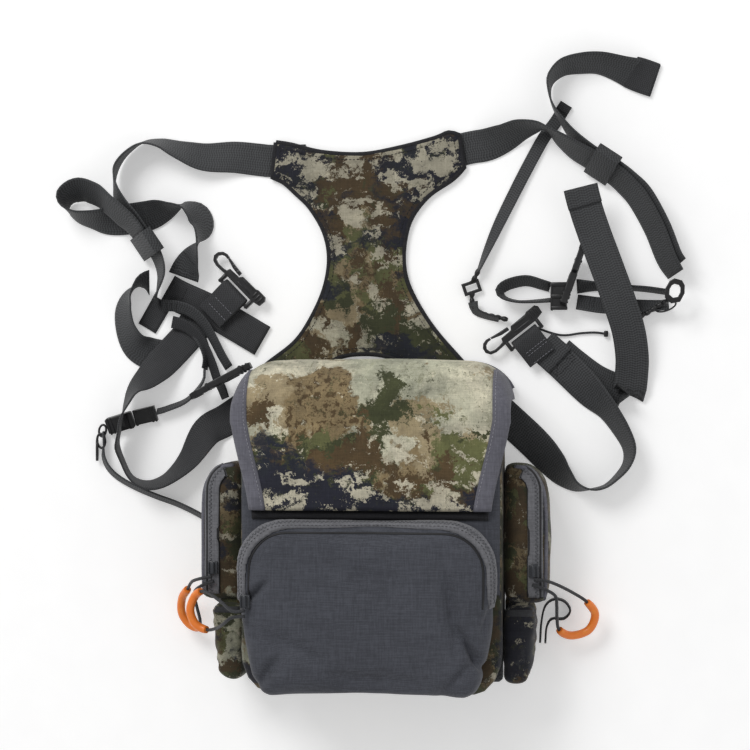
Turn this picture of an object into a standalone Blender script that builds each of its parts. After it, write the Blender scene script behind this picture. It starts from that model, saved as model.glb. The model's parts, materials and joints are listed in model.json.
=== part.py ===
"""Binocular harness pack, lying on its back with its straps spread out.

Metres, +Z up. The origin is the centre of the flat back face of the pack, +Y runs from the
pack towards the yoke, +X to the right and +Z out of the pack's front.
"""

import math

import bmesh
import bpy
from mathutils import Matrix, Vector

MM = 0.001
GAP = 0.3 * MM  # between pieces that touch

# Pack body
POUCH_WIDTH = 196 * MM
POUCH_LENGTH = 225 * MM
POUCH_FOOT = 118 * MM  # from the origin down to the pouch's lower end
POUCH_DEPTH = 70 * MM
POUCH_WALL = 4 * MM
POUCH_EDGE = 8 * MM
BACK_THICKNESS = 10 * MM
BACK_RECESS = 6 * MM  # height left over the yoke's arms
BACK_RECESS_START = 55 * MM
LID_THICKNESS = 3 * MM
LID_RISE = 3.5 * MM  # lid's inner face over the pouch
LID_HINGE_Y = 19 * MM
LID_CURVE = 26 * MM
LID_REACH = 19 * MM  # from the pouch's mouth to the lid's flap
LID_CORNER = 34 * MM
LID_CORNER_START = 72 * MM
LID_FLAP_END = 7.5 * MM
BINDING_WIDTH = 13 * MM
BINDING_DROP = 2.4 * MM
FRONT_POCKET_DEPTH = 29 * MM
FRONT_POCKET_EDGE = 6 * MM
FRONT_POCKET_HEAD = 14.5 * MM  # from the origin up to the pocket's upper end
FRONT_POCKET_CORNER = 34 * MM
SIDE_POCKET_WIDTH = 33 * MM
SIDE_POCKET_DEPTH = 52 * MM
SIDE_POCKET_EDGE = 6 * MM
SIDE_POCKET_FOOT = -52 * MM
SIDE_POCKET_HEAD = 54 * MM
SIDE_POCKET_CORNER = 22 * MM
SLEEVE_WIDTH = 24 * MM
SLEEVE_DEPTH = 55 * MM
SLEEVE_EDGE = 3 * MM
SLEEVE_FOOT = -112 * MM

# Zips
TAPE_WIDTH = 9 * MM
TAPE_THICKNESS = 1.5 * MM
FRONT_ZIP_INSET = 8.5 * MM
SLIDER_SIZE = (7 * MM, 10 * MM, 4 * MM)
SLIDER_EDGE = 0.8 * MM
FRONT_SLIDER_Y = -46 * MM
SIDE_SLIDER_Y = -26 * MM

# Pulls
PULL_CORD = 2.6 * MM
PULL_TUBE = 6.4 * MM
PULL_TUBE_BORE = 4.8 * MM

# Harness
YOKE_THICKNESS = 3.5 * MM
YOKE_HEIGHT = 2 * MM  # its underside, over the straps that are sewn below it
WEBBING_WIDTH = 25.4 * MM
WEBBING_THICKNESS = 1.4 * MM
CHEST_WIDTH = 15 * MM
TETHER_WIDTH = 10 * MM
KEEPER_LENGTH = 20 * MM
KEEPER_WALL = 1 * MM
KEEPER_INSIDE = (28.8 * MM, 6.4 * MM)

# Quick clips
CLIP_THICKNESS = 5 * MM
CLIP_EDGE = 0.6 * MM
CLIP_SIDE = 0.5 * MM  # how far the gate lies below the clip's faces
TAB_LOOP = 3.1 * MM
TAB_WIDTH = 24 * MM

SIDES = {"left": -1, "right": 1}
POUCH_BOTTOM = BACK_THICKNESS + GAP
POUCH_TOP = POUCH_BOTTOM + POUCH_DEPTH
POUCH_SIDE = POUCH_WIDTH / 2
BACK_HALF = POUCH_SIDE - 2 * MM
LID_HALF_AT_HINGE = POUCH_SIDE - 7.7 * MM
LID_HALF_AT_TOP = POUCH_SIDE + 6.5 * MM
FRONT_POCKET_HALF = POUCH_SIDE - 1.5 * MM
POUCH_HEAD = POUCH_LENGTH - POUCH_FOOT
SIDE_BOTTOM = POUCH_BOTTOM
SIDE_TOP = SIDE_BOTTOM + SIDE_POCKET_DEPTH
POCKET_FLOOR = POUCH_TOP + GAP
POCKET_TOP = POCKET_FLOOR + FRONT_POCKET_DEPTH

COLOURS = {
    "camo": (0.27, 0.26, 0.16, 0.9, 0.0),
    "pocket_grey": (0.075, 0.08, 0.1, 0.85, 0.0),
    "binding_grey": (0.2, 0.2, 0.23, 0.85, 0.0),
    "webbing": (0.065, 0.07, 0.07, 0.8, 0.0),
    "lining": (0.05, 0.05, 0.055, 0.9, 0.0),
    "buckle": (0.015, 0.015, 0.017, 0.45, 0.0),
    "zip": (0.03, 0.03, 0.032, 0.5, 0.0),
    "orange": (0.9, 0.2, 0.02, 0.45, 0.0),
}


def start_scene():
    """Empties the scene and returns the collections for the parts and the cutters."""
    for old in list(bpy.data.objects):
        bpy.data.objects.remove(old)
    parts = bpy.data.collections.new("binocular_harness_pack")
    cutters = bpy.data.collections.new("cutters")
    cutters.hide_render = True
    for group in (parts, cutters):
        bpy.context.scene.collection.children.link(group)
    return parts, cutters


PARTS, CUTTERS = start_scene()


def finish(name):
    """The named finish as a Principled material, made once."""
    if name in bpy.data.materials:
        return bpy.data.materials[name]
    material = bpy.data.materials.new(name)
    material.use_nodes = True
    shader = material.node_tree.nodes["Principled BSDF"]
    red, green, blue, roughness, metallic = COLOURS[name]
    shader.inputs["Base Color"].default_value = (red, green, blue, 1)
    shader.inputs["Roughness"].default_value = roughness
    shader.inputs["Metallic"].default_value = metallic
    return material


def part(name, data, finish_name):
    """One named piece of the object."""
    piece = bpy.data.objects.new(name, data)
    data.materials.append(finish(finish_name))
    PARTS.objects.link(piece)
    return piece


def box_mesh(name, low, high):
    """A box between two corners."""
    mesh = bpy.data.meshes.new(name)
    shape = bmesh.new()
    size = Vector(high) - Vector(low)
    middle = (Vector(high) + Vector(low)) / 2
    place = Matrix.Translation(middle) @ Matrix.Diagonal((*size, 1))
    bmesh.ops.create_cube(shape, size=1, matrix=place)
    shape.to_mesh(mesh)
    shape.free()
    return mesh


def box(name, low, high, finish_name, edge=0.0, segments=2):
    piece = part(name, box_mesh(name, low, high), finish_name)
    if edge:
        rounding = piece.modifiers.new("edges", "BEVEL")
        rounding.width = edge
        rounding.segments = segments
    return piece


def cut(piece, low, high):
    """Takes a box out of a piece."""
    cutter = bpy.data.objects.new(piece.name + "_cutter", box_mesh("cutter", low, high))
    cutter.display_type = "WIRE"
    cutter.hide_render = True
    CUTTERS.objects.link(cutter)
    opening = piece.modifiers.new("opening", "BOOLEAN")
    opening.operation = "DIFFERENCE"
    opening.object = cutter


def smooth(stations, step):
    """Points a step apart along a smooth curve through the stations."""
    rows = [Vector(station) for station in stations]
    ends = [rows[0] * 2 - rows[1]] + rows + [rows[-1] * 2 - rows[-2]]
    points = []
    for before, first, second, after in zip(ends, ends[1:], ends[2:], ends[3:]):
        length = (Vector(second[:3]) - Vector(first[:3])).length
        count = max(1, round(length / step))
        for index in range(count):
            t = index / count
            points.append(
                first
                + (second - before) * (t / 2)
                + (2 * before - 5 * first + 4 * second - after) * (t * t / 2)
                + (3 * first - before - 3 * second + after) * (t**3 / 2)
            )
    return points + [rows[-1]]


def in_metres(stations):
    """Stations of (x, y, z, roll) from millimetres to metres, the roll left in degrees."""
    return [(x * MM, y * MM, z * MM, roll) for x, y, z, roll in stations]


def poly_curve(name, points, tilts=None):
    curve = bpy.data.curves.new(name, "CURVE")
    curve.dimensions = "3D"
    curve.twist_mode = "Z_UP"
    spline = curve.splines.new("POLY")
    spline.points.add(len(points) - 1)
    for index, point in enumerate(points):
        spline.points[index].co = (point[0], point[1], point[2], 1)
        spline.points[index].tilt = tilts[index] if tilts else 0
    curve.use_fill_caps = True
    return curve


def ribbon(name, stations, width, finish_name="webbing", step=10 * MM, on_table=True):
    """Webbing along (x, y, z, roll): roll 0 lies flat, 90 stands on its edge."""
    points = smooth(stations, step)
    for point in points:
        turn = math.radians(point[3])
        low = width / 2 * abs(math.sin(turn)) + WEBBING_THICKNESS / 2 * abs(math.cos(turn))
        if on_table:
            point.z = max(point.z, low + GAP)
    tilts = [math.radians(point[3] - 90) for point in points]
    curve = poly_curve(name, points, tilts)
    curve.extrude = (width - WEBBING_THICKNESS) / 2
    curve.bevel_depth = WEBBING_THICKNESS / 2
    curve.bevel_resolution = 0
    return part(name, curve, finish_name)


def tube(name, points, radius, finish_name, bore=0.0):
    """A round cord or, with a bore, a sleeve that is open at both ends."""
    curve = poly_curve(name, points)
    curve.bevel_depth = radius
    curve.bevel_resolution = 2
    piece = part(name, curve, finish_name)
    if bore:
        curve.use_fill_caps = False
        wall = piece.modifiers.new("wall", "SOLIDIFY")
        wall.thickness = radius - bore / 2
        wall.offset = -1
    return piece


def slab(name, outline, low, high, edge, finish_name, holes=()):
    """A flat outline between two heights, with its rims rounded."""
    curve = bpy.data.curves.new(name, "CURVE")
    curve.dimensions = "2D"
    curve.fill_mode = "BOTH"
    for ring in (outline, *holes):
        spline = curve.splines.new("POLY")
        spline.points.add(len(ring) - 1)
        for point, (x, y) in zip(spline.points, ring):
            point.co = (x, y, 0, 1)
        spline.use_cyclic_u = True
    curve.extrude = (high - low) / 2 - edge
    curve.bevel_depth = edge
    curve.bevel_resolution = 1
    curve.offset = -edge
    piece = part(name, curve, finish_name)
    piece.location.z = (high + low) / 2
    return piece


def arc(centre, radius, start, end, count):
    """Points along an arc, its angles in degrees."""
    angles = [math.radians(start + (end - start) * i / (count - 1)) for i in range(count)]
    return [(centre[0] + radius * math.cos(a), centre[1] + radius * math.sin(a)) for a in angles]


def set_origin(piece, point):
    """Moves a piece's origin to a point of its joint's axis, its shape staying where it is."""
    piece.data.transform(Matrix.Translation(-Vector(point)))
    piece.location = point


def mirrored(half):
    """An outline from its right half, listed from top to bottom."""
    return half + [(-x, y) for x, y in reversed(half) if abs(x) > GAP]


# --- Pack ---------------------------------------------------------------------------------


def make_pouch():
    head = POUCH_HEAD + 5 * MM
    panel = box(
        "back_panel", (-BACK_HALF, -POUCH_FOOT, 0), (BACK_HALF, head, BACK_THICKNESS),
        "lining", edge=3 * MM,
    )
    cut(panel, (-1, BACK_RECESS_START, -1), (1, 1, BACK_RECESS))
    shell = box(
        "pouch_shell", (-POUCH_SIDE, -POUCH_FOOT, POUCH_BOTTOM),
        (POUCH_SIDE, POUCH_HEAD + POUCH_EDGE + GAP, POUCH_TOP), "camo", edge=POUCH_EDGE,
    )
    cut(
        shell, (POUCH_WALL - POUCH_SIDE, POUCH_WALL - POUCH_FOOT, POUCH_BOTTOM + POUCH_WALL),
        (POUCH_SIDE - POUCH_WALL, 1, POUCH_TOP - POUCH_WALL),
    )
    cut(shell, (-1, POUCH_HEAD, -1), (1, 1, 1))


def lid_profile():
    """(y, z) of the lid's inner face, from its hinge over the pouch's mouth to its free end."""
    face = POUCH_TOP + LID_RISE
    curve_y = POUCH_HEAD + LID_REACH - LID_CURVE
    straight = [(LID_HINGE_Y + (curve_y - LID_HINGE_Y) * i / 4, face) for i in range(4)]
    over = arc((curve_y, face - LID_CURVE), LID_CURVE, 90, 0, 6)
    down = [(over[-1][0], face - LID_CURVE - (face - LID_CURVE - LID_FLAP_END) * i / 2) for i in (1, 2)]
    return straight + over + down


def lid_half_width(y):
    """Half of the lid's width, which grows from the hinge to the top of the pouch."""
    full = POUCH_HEAD - 20 * MM
    share = min(1.0, max(0.0, (y - LID_HINGE_Y) / (full - LID_HINGE_Y)))
    return LID_HALF_AT_HINGE + (LID_HALF_AT_TOP - LID_HALF_AT_HINGE) * share


def corner_set_back(x):
    """How far the lid's rounded corners lie behind its straight end."""
    past = max(0.0, abs(x) - LID_CORNER_START)
    return LID_CORNER - math.sqrt(max(0.0, LID_CORNER**2 - past**2))


def lid_strip(name, columns, finish_name):
    """A strip of the lid: columns gives (x, drop) across it for a half width."""
    rows = lid_profile()
    across = len(columns(LID_HALF_AT_HINGE))
    mesh = bpy.data.meshes.new(name)
    shape = bmesh.new()
    bmesh.ops.create_grid(shape, x_segments=across - 1, y_segments=len(rows) - 1, size=1)
    places = []
    for y, z in rows:
        share = min(1.0, max(0.0, (y - POUCH_HEAD + LID_CURVE) / (LID_CURVE + LID_REACH)))
        for x, drop in columns(lid_half_width(y)):
            places.append((x, y - corner_set_back(x) * share, z - drop))
    for vertex, place in zip(sorted(shape.verts, key=lambda v: (v.co.y, v.co.x)), places):
        vertex.co = place
    shape.to_mesh(mesh)
    shape.free()
    piece = part(name, mesh, finish_name)
    wall = piece.modifiers.new("thickness", "SOLIDIFY")
    wall.thickness = LID_THICKNESS
    wall.offset = 1
    return piece


def make_lid():
    def panel(half):
        edge = half - BINDING_WIDTH - GAP
        return [(edge * share, 0) for share in (-1, -0.9, -0.78, 0, 0.78, 0.9, 1)]

    lid_strip("lid_panel", panel, "camo")
    for side, sign in SIDES.items():
        def binding(half, sign=sign):
            ends = [(half - BINDING_WIDTH, 0), (half - BINDING_WIDTH / 2, BINDING_DROP / 3),
                    (half, BINDING_DROP)]
            return [(sign * x, drop) for x, drop in ends[::sign]]

        lid_strip("lid_binding_" + side, binding, "binding_grey")
    for name in ("lid_panel", "lid_binding_left", "lid_binding_right"):
        set_origin(PARTS.objects[name], (0, LID_HINGE_Y, POUCH_TOP + LID_RISE))


def front_pocket_half(inset):
    """Right half of the front pocket's outline, drawn in by an inset."""
    top = FRONT_POCKET_HEAD - inset
    side = FRONT_POCKET_HALF - inset
    corner = FRONT_POCKET_CORNER - inset * 0.8
    points = [(0, top), (40 * MM, top)]
    points += arc((side - corner, top - corner), corner, 90, 0, 7)
    return points, side


def make_front_pocket():
    points, side = front_pocket_half(0)
    foot = -POUCH_FOOT
    points += [(side - 1 * MM, -55 * MM), (side - 5 * MM, -86 * MM)]
    points += arc((side - 23 * MM, foot + 16 * MM), 15 * MM, 0, -80, 4)
    points += [(35 * MM, foot), (0, foot)]
    slab("front_pocket", mirrored(points), POCKET_FLOOR, POCKET_TOP, FRONT_POCKET_EDGE, "pocket_grey")
    arch, side = front_pocket_half(FRONT_ZIP_INSET)
    arch = arch[1:] + [(side, -35 * MM), (side - 1 * MM, -52 * MM)]
    line = [(-x, y) for x, y in reversed(arch)] + arch
    height = POCKET_TOP + GAP + TAPE_THICKNESS / 2
    ribbon("front_zip", [(x, y, height, 0) for x, y in line], TAPE_WIDTH, "zip", step=30 * MM)
    slider("front_zip_slider", -side, FRONT_SLIDER_Y, POCKET_TOP + TAPE_THICKNESS + 2 * GAP)


def slider(name, x, y, z):
    """A zip slider whose centre is over a point of its tape."""
    wide, long, high = SLIDER_SIZE
    low = (x - wide / 2, y - long / 2, z)
    high_corner = (x + wide / 2, y + long / 2, z + high)
    piece = box(name, low, high_corner, "zip", edge=SLIDER_EDGE, segments=1)
    set_origin(piece, (x, y, z))


def make_side_pockets():
    inner = POUCH_SIDE + GAP
    outer = inner + SIDE_POCKET_WIDTH
    sleeve = inner + SLEEVE_WIDTH
    sleeve_head = SIDE_POCKET_FOOT - GAP
    line = outer - SIDE_POCKET_EDGE - TAPE_WIDTH / 2 - GAP
    bend = SIDE_POCKET_CORNER - SIDE_POCKET_EDGE - TAPE_WIDTH / 2
    middle = (outer - SIDE_POCKET_CORNER, SIDE_POCKET_HEAD - SIDE_POCKET_CORNER)
    height = SIDE_TOP + GAP + TAPE_THICKNESS / 2
    for side, sign in SIDES.items():
        outline = [(inner, SIDE_POCKET_FOOT), (outer, SIDE_POCKET_FOOT)]
        outline += arc(middle, SIDE_POCKET_CORNER, 0, 90, 6)
        outline += [(inner, SIDE_POCKET_HEAD)]
        outline = [(sign * x, y) for x, y in outline][::sign]
        slab("side_pocket_" + side, outline, SIDE_BOTTOM, SIDE_TOP, SIDE_POCKET_EDGE, "camo")
        outline = [(inner, SLEEVE_FOOT), (sleeve - 10 * MM, SLEEVE_FOOT),
                   (sleeve - 4 * MM, SLEEVE_FOOT + 8 * MM), (sleeve, sleeve_head), (inner, sleeve_head)]
        outline = [(sign * x, y) for x, y in outline][::sign]
        top = SIDE_BOTTOM + SLEEVE_DEPTH
        slab("stretch_sleeve_" + side, outline, SIDE_BOTTOM, top, SLEEVE_EDGE, "camo")
        run = [(line, -46 * MM), (line, -15 * MM), (line, 15 * MM)]
        run += arc(middle, bend, 0, 80, 4)
        stations = [(sign * x, y, height, 0) for x, y in run]
        ribbon("side_zip_" + side, stations, TAPE_WIDTH, "zip", step=30 * MM)
        slider("side_zip_slider_" + side, sign * line, SIDE_SLIDER_Y, height + TAPE_THICKNESS / 2 + GAP)


# --- Pulls --------------------------------------------------------------------------------

# Each pull is a loop of cord, from its slider and back, whose middle runs in a moulded sleeve.
# A route holds (x, y, z) in millimetres, x and z from the pocket's inner side and top, then the
# numbers of the points where the sleeve starts and ends.
PULLS = {
    "side_left": (
        [(-23, -32.5, 5.2), (-31, -34, 3.7), (-39.5, -37, -7.3), (-45, -41, -22.3), (-49, -46, -32.3),
         (-55, -54, -40.3), (-56, -66, -44.3), (-50, -75, -45.3), (-42, -77, -42.3), (-39.5, -70, -33.3),
         (-39.5, -58, -20.3), (-38.5, -46, -5.3), (-31, -39.5, 3.2), (-21.5, -36, 4.2)],
        4, 8, (-POUCH_SIDE, SIDE_TOP),
    ),
    "front": (
        [(8.5, -52.5, 4.4), (-0.5, -53, 3.8), (-11.5, -47, -6.6), (-23.5, -43, -23.6),
         (-31.5, -43, -34.6),
         (-37.5, -48, -39.6), (-40.5, -58, -39.6), (-36.5, -68, -39.6), (-27.5, -72, -37.6),
         (-17.5, -69, -23.6), (-9.5, -64, -6.6), (-1.5, -58, 2.4), (8.5, -56.5, 4.4)],
        4, 8, (-FRONT_POCKET_HALF, POCKET_TOP),
    ),
    "side_right": (
        [(23, -32.5, 5.2), (31, -33, 3.7), (40, -37, -6.3), (52, -45, -24.3), (62, -53, -36.3),
         (68, -63, -42.3), (63, -75, -44.3), (50, -79, -41.3), (41, -74, -34.3), (39.5, -64, -24.3),
         (39.5, -53, -12.3), (38.5, -45, -4.3), (31, -39.5, 3.2), (21.5, -36, 4.2)],
        4, 8, (POUCH_SIDE, SIDE_TOP),
    ),
}


def make_pulls():
    for name, (route, start, end, (side, top)) in PULLS.items():
        stations = [(side + x * MM, y * MM, top + z * MM, 0) for x, y, z in route]
        tube("pull_cord_" + name, smooth(stations, 6 * MM), PULL_CORD / 2, "webbing")
        covered = smooth(stations, 6 * MM)
        first = min(range(len(covered)), key=lambda i: (covered[i] - Vector(stations[start])).length)
        last = min(range(len(covered)), key=lambda i: (covered[i] - Vector(stations[end])).length)
        tube("pull_sleeve_" + name, covered[first:last + 1], PULL_TUBE / 2, "orange", PULL_TUBE_BORE)
        swing = (Vector(stations[0][:3]) + Vector(stations[-1][:3])) / 2
        set_origin(PARTS.objects["pull_cord_" + name], swing)
        set_origin(PARTS.objects["pull_sleeve_" + name], swing)


# --- Yoke ---------------------------------------------------------------------------------

YOKE_OUTLINE = [
    (-82, 301), (-85, 274), (-76, 270), (-66, 261), (-55, 250), (-44, 231), (-40, 210), (-44, 186),
    (-55, 162), (-68, 144), (-91, 126), (-107, 108), (-88, 91), (-72, 104), (-47, 126), (-30, 134),
    (-12, 136), (5, 134), (18, 128), (44, 106), (62, 91), (86, 104), (64, 129), (43, 153), (29, 174),
    (20, 194), (18, 215), (23, 239), (37, 258), (56, 271), (65, 280), (61, 305), (53, 307), (43, 303),
    (16, 296), (-14, 291), (-46, 293), (-70, 299),
]


def make_yoke():
    outline = [(x * MM, y * MM) for x, y in YOKE_OUTLINE]
    top = YOKE_HEIGHT + YOKE_THICKNESS
    slab("yoke_panel", outline, YOKE_HEIGHT, top, 0.5 * MM, "camo")


# --- Straps -------------------------------------------------------------------------------

# Stations are (x, y, z, roll) in millimetres and degrees along the middle of the webbing.
SHOULDER_LEFT = [
    (-59, 287, 1.1, 0), (-86, 287, 1.1, 0), (-96, 288, 1.1, 0), (-115, 290, 2, 10),
    (-138, 290, 5, 28), (-156, 295, 9.5, 52), (-173, 301, 13, 72), (-187, 301, 14, 80),
    (-200, 292, 14.5, 84), (-207, 280, 17, 84), (-206.6, 266, 22.5, 72), (-201, 252, 24.8, 58),
    (-193.5, 241, 23.6, 51), (-187, 231.5, 18.6, 56), (-181, 223, 15.4, 60), (-174, 211, 14.3, 62),
    (-171, 199, 15, 66), (-172.5, 188, 17, 74), (-175.5, 178, 18.5, 84),
]
TAIL_LEFT = [
    (-155, 196, 7, 175), (-152, 204, 8, 158), (-146, 215, 12, 125), (-141, 225, 13.6, 90),
    (-139, 236, 12, 58), (-143, 246, 11.5, 54), (-151, 251, 12.5, 70), (-159, 252, 13.6, 92),
    (-171, 249, 10, 128), (-184, 244.5, 6.5, 152), (-199, 242, 6.5, 156), (-211, 241.2, 6.5, 154),
    (-224, 241.2, 11, 126), (-239, 244, 13, 108),
    (-248, 251, 13.6, 92), (-247, 259.5, 13.4, 62), (-236, 264.5, 15, 48),
    (-221, 260, 20.5, 50), (-209, 250.8, 27.4, 54), (-196, 239.2, 26.4, 52),
    (-188.8, 230.2, 20, 57), (-182.8, 221.7, 16.6, 60),
]
LOOP_LEFT = [
    (-181, 191.5, 13, 140), (-186, 192, 13, 115), (-191, 189, 13.6, 90),
    (-198, 181, 12, 62), (-202, 170, 10.5, 48), (-201, 157, 9, 42), (-195, 144, 5.5, 28),
    (-185, 137, 1.6, 6), (-173, 134, 1.1, 0),
]
UNDER_LEFT = [(-186, 171, 1.1, 0), (-179, 167, 1.1, 0), (-172, 162.8, 1.1, 0)]
CROSS_LEFT = [(-169, 186.5, 3, 0), (-159, 181, 3, 0), (-131, 168, 3, 0), (-93, 146, 2.4, 0)]
LOWER_LEFT = [
    (-141, 164, 1.1, 0), (-153, 150, 1.1, 0), (-169, 132, 6, 0), (-182, 118, 12, 32),
    (-192, 108, 17, 58), (-197, 97, 21.5, 71), (-201, 86, 23, 81), (-203, 75, 22.6, 81),
    (-205, 64, 18.5, 83), (-202, 52, 14.5, 84), (-196, 40, 13.6, 86), (-186, 34, 13.5, 98),
    (-176, 34, 12.8, 108), (-164, 40, 12, 118), (-150, 54, 8.5, 138), (-137, 75, 3, 168),
    (-122, 84, 1.2, 180), (-104, 96, 1.1, 180),
]
HOOK_STRAP_LEFT = [
    (-172, 174, 8, 30), (-159, 173, 9, 30), (-147, 168, 9, 32), (-138, 159, 8, 36),
    (-131, 147, 7, 40), (-125, 135, 6, 42), (-119, 125, 6, 42),
]
HOOK_UNDER_LEFT = [
    (-164, 161, 7.2, 16), (-154, 158, 6.8, 24), (-144, 150, 6, 32), (-137, 138, 5, 38),
    (-132, 126, 4.5, 40), (-129, 117, 4.5, 40), (-125, 109, 4.5, 40), (-122, 101, 4.5, 46),
]
THIN_LEFT_UPPER = [
    (-138.5, 124, 5.6, 75), (-140, 114, 5.6, 74), (-152, 100, 5.5, 68), (-168, 93, 5.5, 64),
    (-176.5, 90.5, 5.5, 64),
]
THIN_LEFT_LOWER = [
    (-219, 75, 5.5, 84), (-219, 66, 5.5, 80), (-219.5, 56, 5.5, 66), (-216, 47, 5.5, 60),
    (-208, 39, 5.5, 60), (-194, 31, 5.5, 62),
    (-177, 24, 5.5, 62), (-160, 18, 5.5, 62), (-143, 10, 5.5, 62), (-134, 4, 5.5, 62),
]
SHOULDER_RIGHT = [
    (38, 286, 1.1, 0), (54, 291, 1.1, 0), (63, 294, 1.1, 0), (72, 296, 1.1, 0),
    (83, 297.5, 3.2, 14), (96, 302, 8, 36),
    (109, 308, 13, 56), (121, 310, 17, 78), (129, 308, 17.4, 90), (139, 300, 17, 74),
    (151, 291, 15.4, 62), (161.5, 284.8, 15.1, 59), (171, 278.6, 15.1, 57), (181, 271.8, 15.1, 56),
    (190, 263.5, 14.6, 55), (199, 253, 14, 54), (211, 231, 13.4, 54), (220, 208, 13.2, 56),
    (227, 196, 13.2, 62),
]
TAIL_RIGHT = [
    (229, 203, 15.4, 120), (223.7, 210.5, 15.4, 124), (214.7, 232.7, 15.6, 126),
    (202.4, 255.3, 16.2, 126), (192.2, 266.2, 16.2, 125), (182.4, 274.4, 15.6, 124),
    (172.4, 281.1, 15.2, 123), (163, 287.2, 15.2, 121), (150, 301.5, 15.8, 104),
    (140, 315, 17.2, 94), (134, 325, 17.2, 90), (131, 336, 16, 88), (132, 346, 14.4, 80),
    (141, 355, 12.4, 68), (155, 358, 11.5, 60), (170, 358, 10.5, 56), (187, 353, 8, 42),
    (200, 349, 3.6, 14), (212, 345, 1.4, 0),
]
TETHER_RIGHT = [
    (144, 328, 1.4, 4), (136, 315, 1.4, 4), (127, 303, 1.6, 6), (118, 287, 2, 10),
    (108, 268, 2.2, 14), (94, 240, 3, 28), (84, 218, 4.4, 52), (76, 199, 5.6, 80),
]
TETHER_END = [(72, 176, 4.6, 40), (74, 169, 4.6, 55), (82, 165, 4.8, 66), (92, 162.5, 5, 68)]
CHEST_LOWER = [(222, 173, 7, 62), (200, 172, 7, 48), (174, 172.5, 6, 36), (152, 175.5, 6, 40)]
CHEST_LOOP = [
    (132.5, 177, 7.5, 78), (119, 176, 7.5, 82), (106, 176, 7.5, 84), (96, 179, 7.5, 80),
    (93, 184, 7.2, 66), (99, 189, 7.2, 60), (113, 192, 7.2, 60), (125, 189, 7.2, 62), (131.6, 187, 7.2, 64),
]
CHEST_UPPER = [
    (152, 187.5, 6.4, 46), (165, 187.5, 7, 64), (185, 186.5, 7.8, 78), (205, 185, 7.8, 78),
    (222, 182.5, 7.8, 78),
]
WIDE_RIGHT = [
    (155, 262, 27.5, 0), (159, 246, 26, 0), (165, 228, 24.5, 0), (175, 201, 23, 0),
    (184, 176, 22, 2), (191, 154, 18, 2), (194, 134, 12.5, 0), (193.6, 119, 8.2, -2),
    (192.5, 108.2, 7.1, -4), (192.4, 105.7, 6.2, -26), (191.7, 104.3, 4.1, -90),
    (190.1, 104.5, 2.0, -154), (188, 105.7, 1.1, -180), (180, 108.5, 1.1, -180),
    (165, 115.5, 1.1, -180), (150, 126.5, 1.1, -180), (138, 136.5, 1.1, -180),
]
LOWER_RIGHT = [
    (125, 142.5, 5.4, 0), (134, 134.5, 5.2, 0), (149, 120, 5.2, 8), (162, 106.5, 6.6, 24),
    (174.6, 93.8, 10.8, 50), (186, 77, 12.4, 60), (192, 63, 12.6, 68), (190, 51, 13.2, 78),
    (182, 41, 13.6, 84), (173, 34, 13.6, 88), (163, 32, 13.6, 92), (152, 34, 13, 108),
    (143, 41, 11, 128), (133, 52, 6.5, 152), (118, 68, 1.6, 174), (92, 92, 1.1, 180),
]
ACCESSORY_LOOP = [
    (124, -86, 12, 90), (125, -70, 10, 90), (128, -58, 7, 90), (135, -53, 5.6, 90),
    (143, -55, 5.6, 90), (147, -62, 5.6, 90), (142, -68, 5.6, 90), (133, -68, 7, 90),
    (129, -74, 9, 90), (128, -86, 12, 90),
]
STRAPS = {
    "shoulder_strap_left": (SHOULDER_LEFT, WEBBING_WIDTH),
    "tail_left": (TAIL_LEFT, WEBBING_WIDTH),
    "adjust_loop_left": (LOOP_LEFT, WEBBING_WIDTH),
    "under_strap_left": (UNDER_LEFT, WEBBING_WIDTH),
    "cross_strap_left": (CROSS_LEFT, WEBBING_WIDTH),
    "lower_strap_left": (LOWER_LEFT, WEBBING_WIDTH),
    "hook_strap_left": (HOOK_STRAP_LEFT, TETHER_WIDTH),
    "hook_strap_left_under": (HOOK_UNDER_LEFT, TETHER_WIDTH),
    "thin_strap_left_upper": (THIN_LEFT_UPPER, TETHER_WIDTH),
    "thin_strap_left_lower": (THIN_LEFT_LOWER, TETHER_WIDTH),
    "shoulder_strap_right": (SHOULDER_RIGHT, WEBBING_WIDTH),
    "tail_right": (TAIL_RIGHT, WEBBING_WIDTH),
    "tether_right": (TETHER_RIGHT, TETHER_WIDTH),
    "tether_right_end": (TETHER_END, TETHER_WIDTH),
    "chest_strap_lower": (CHEST_LOWER, CHEST_WIDTH),
    "chest_strap_loop": (CHEST_LOOP, CHEST_WIDTH),
    "chest_strap_upper": (CHEST_UPPER, CHEST_WIDTH),
    "wide_strap_right": (WIDE_RIGHT, WEBBING_WIDTH),
    "lower_strap_right": (LOWER_RIGHT, WEBBING_WIDTH),
    "accessory_loop_right": (ACCESSORY_LOOP, TETHER_WIDTH),
}


TIGHT_STRAPS = ("tail_left", "adjust_loop_left", "chest_strap_loop", "lower_strap_left")


def make_straps():
    for name, (stations, width) in STRAPS.items():
        step = 6 * MM if name in TIGHT_STRAPS else 10 * MM
        ribbon(name, in_metres(stations), width, step=step)


# --- Keepers and small buckles ------------------------------------------------------------


def along(start, end, roll=0.0):
    """A frame whose X axis runs from one point to another, turned about it by roll degrees."""
    ahead = (Vector(end) - Vector(start)).normalized()
    left = Vector((0, 0, 1)).cross(ahead).normalized()
    frame = Matrix((ahead, left, ahead.cross(left))).transposed().to_4x4()
    middle = (Vector(start) + Vector(end)) / 2
    return Matrix.Translation(middle) @ frame @ Matrix.Rotation(math.radians(roll), 4, "X")


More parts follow.
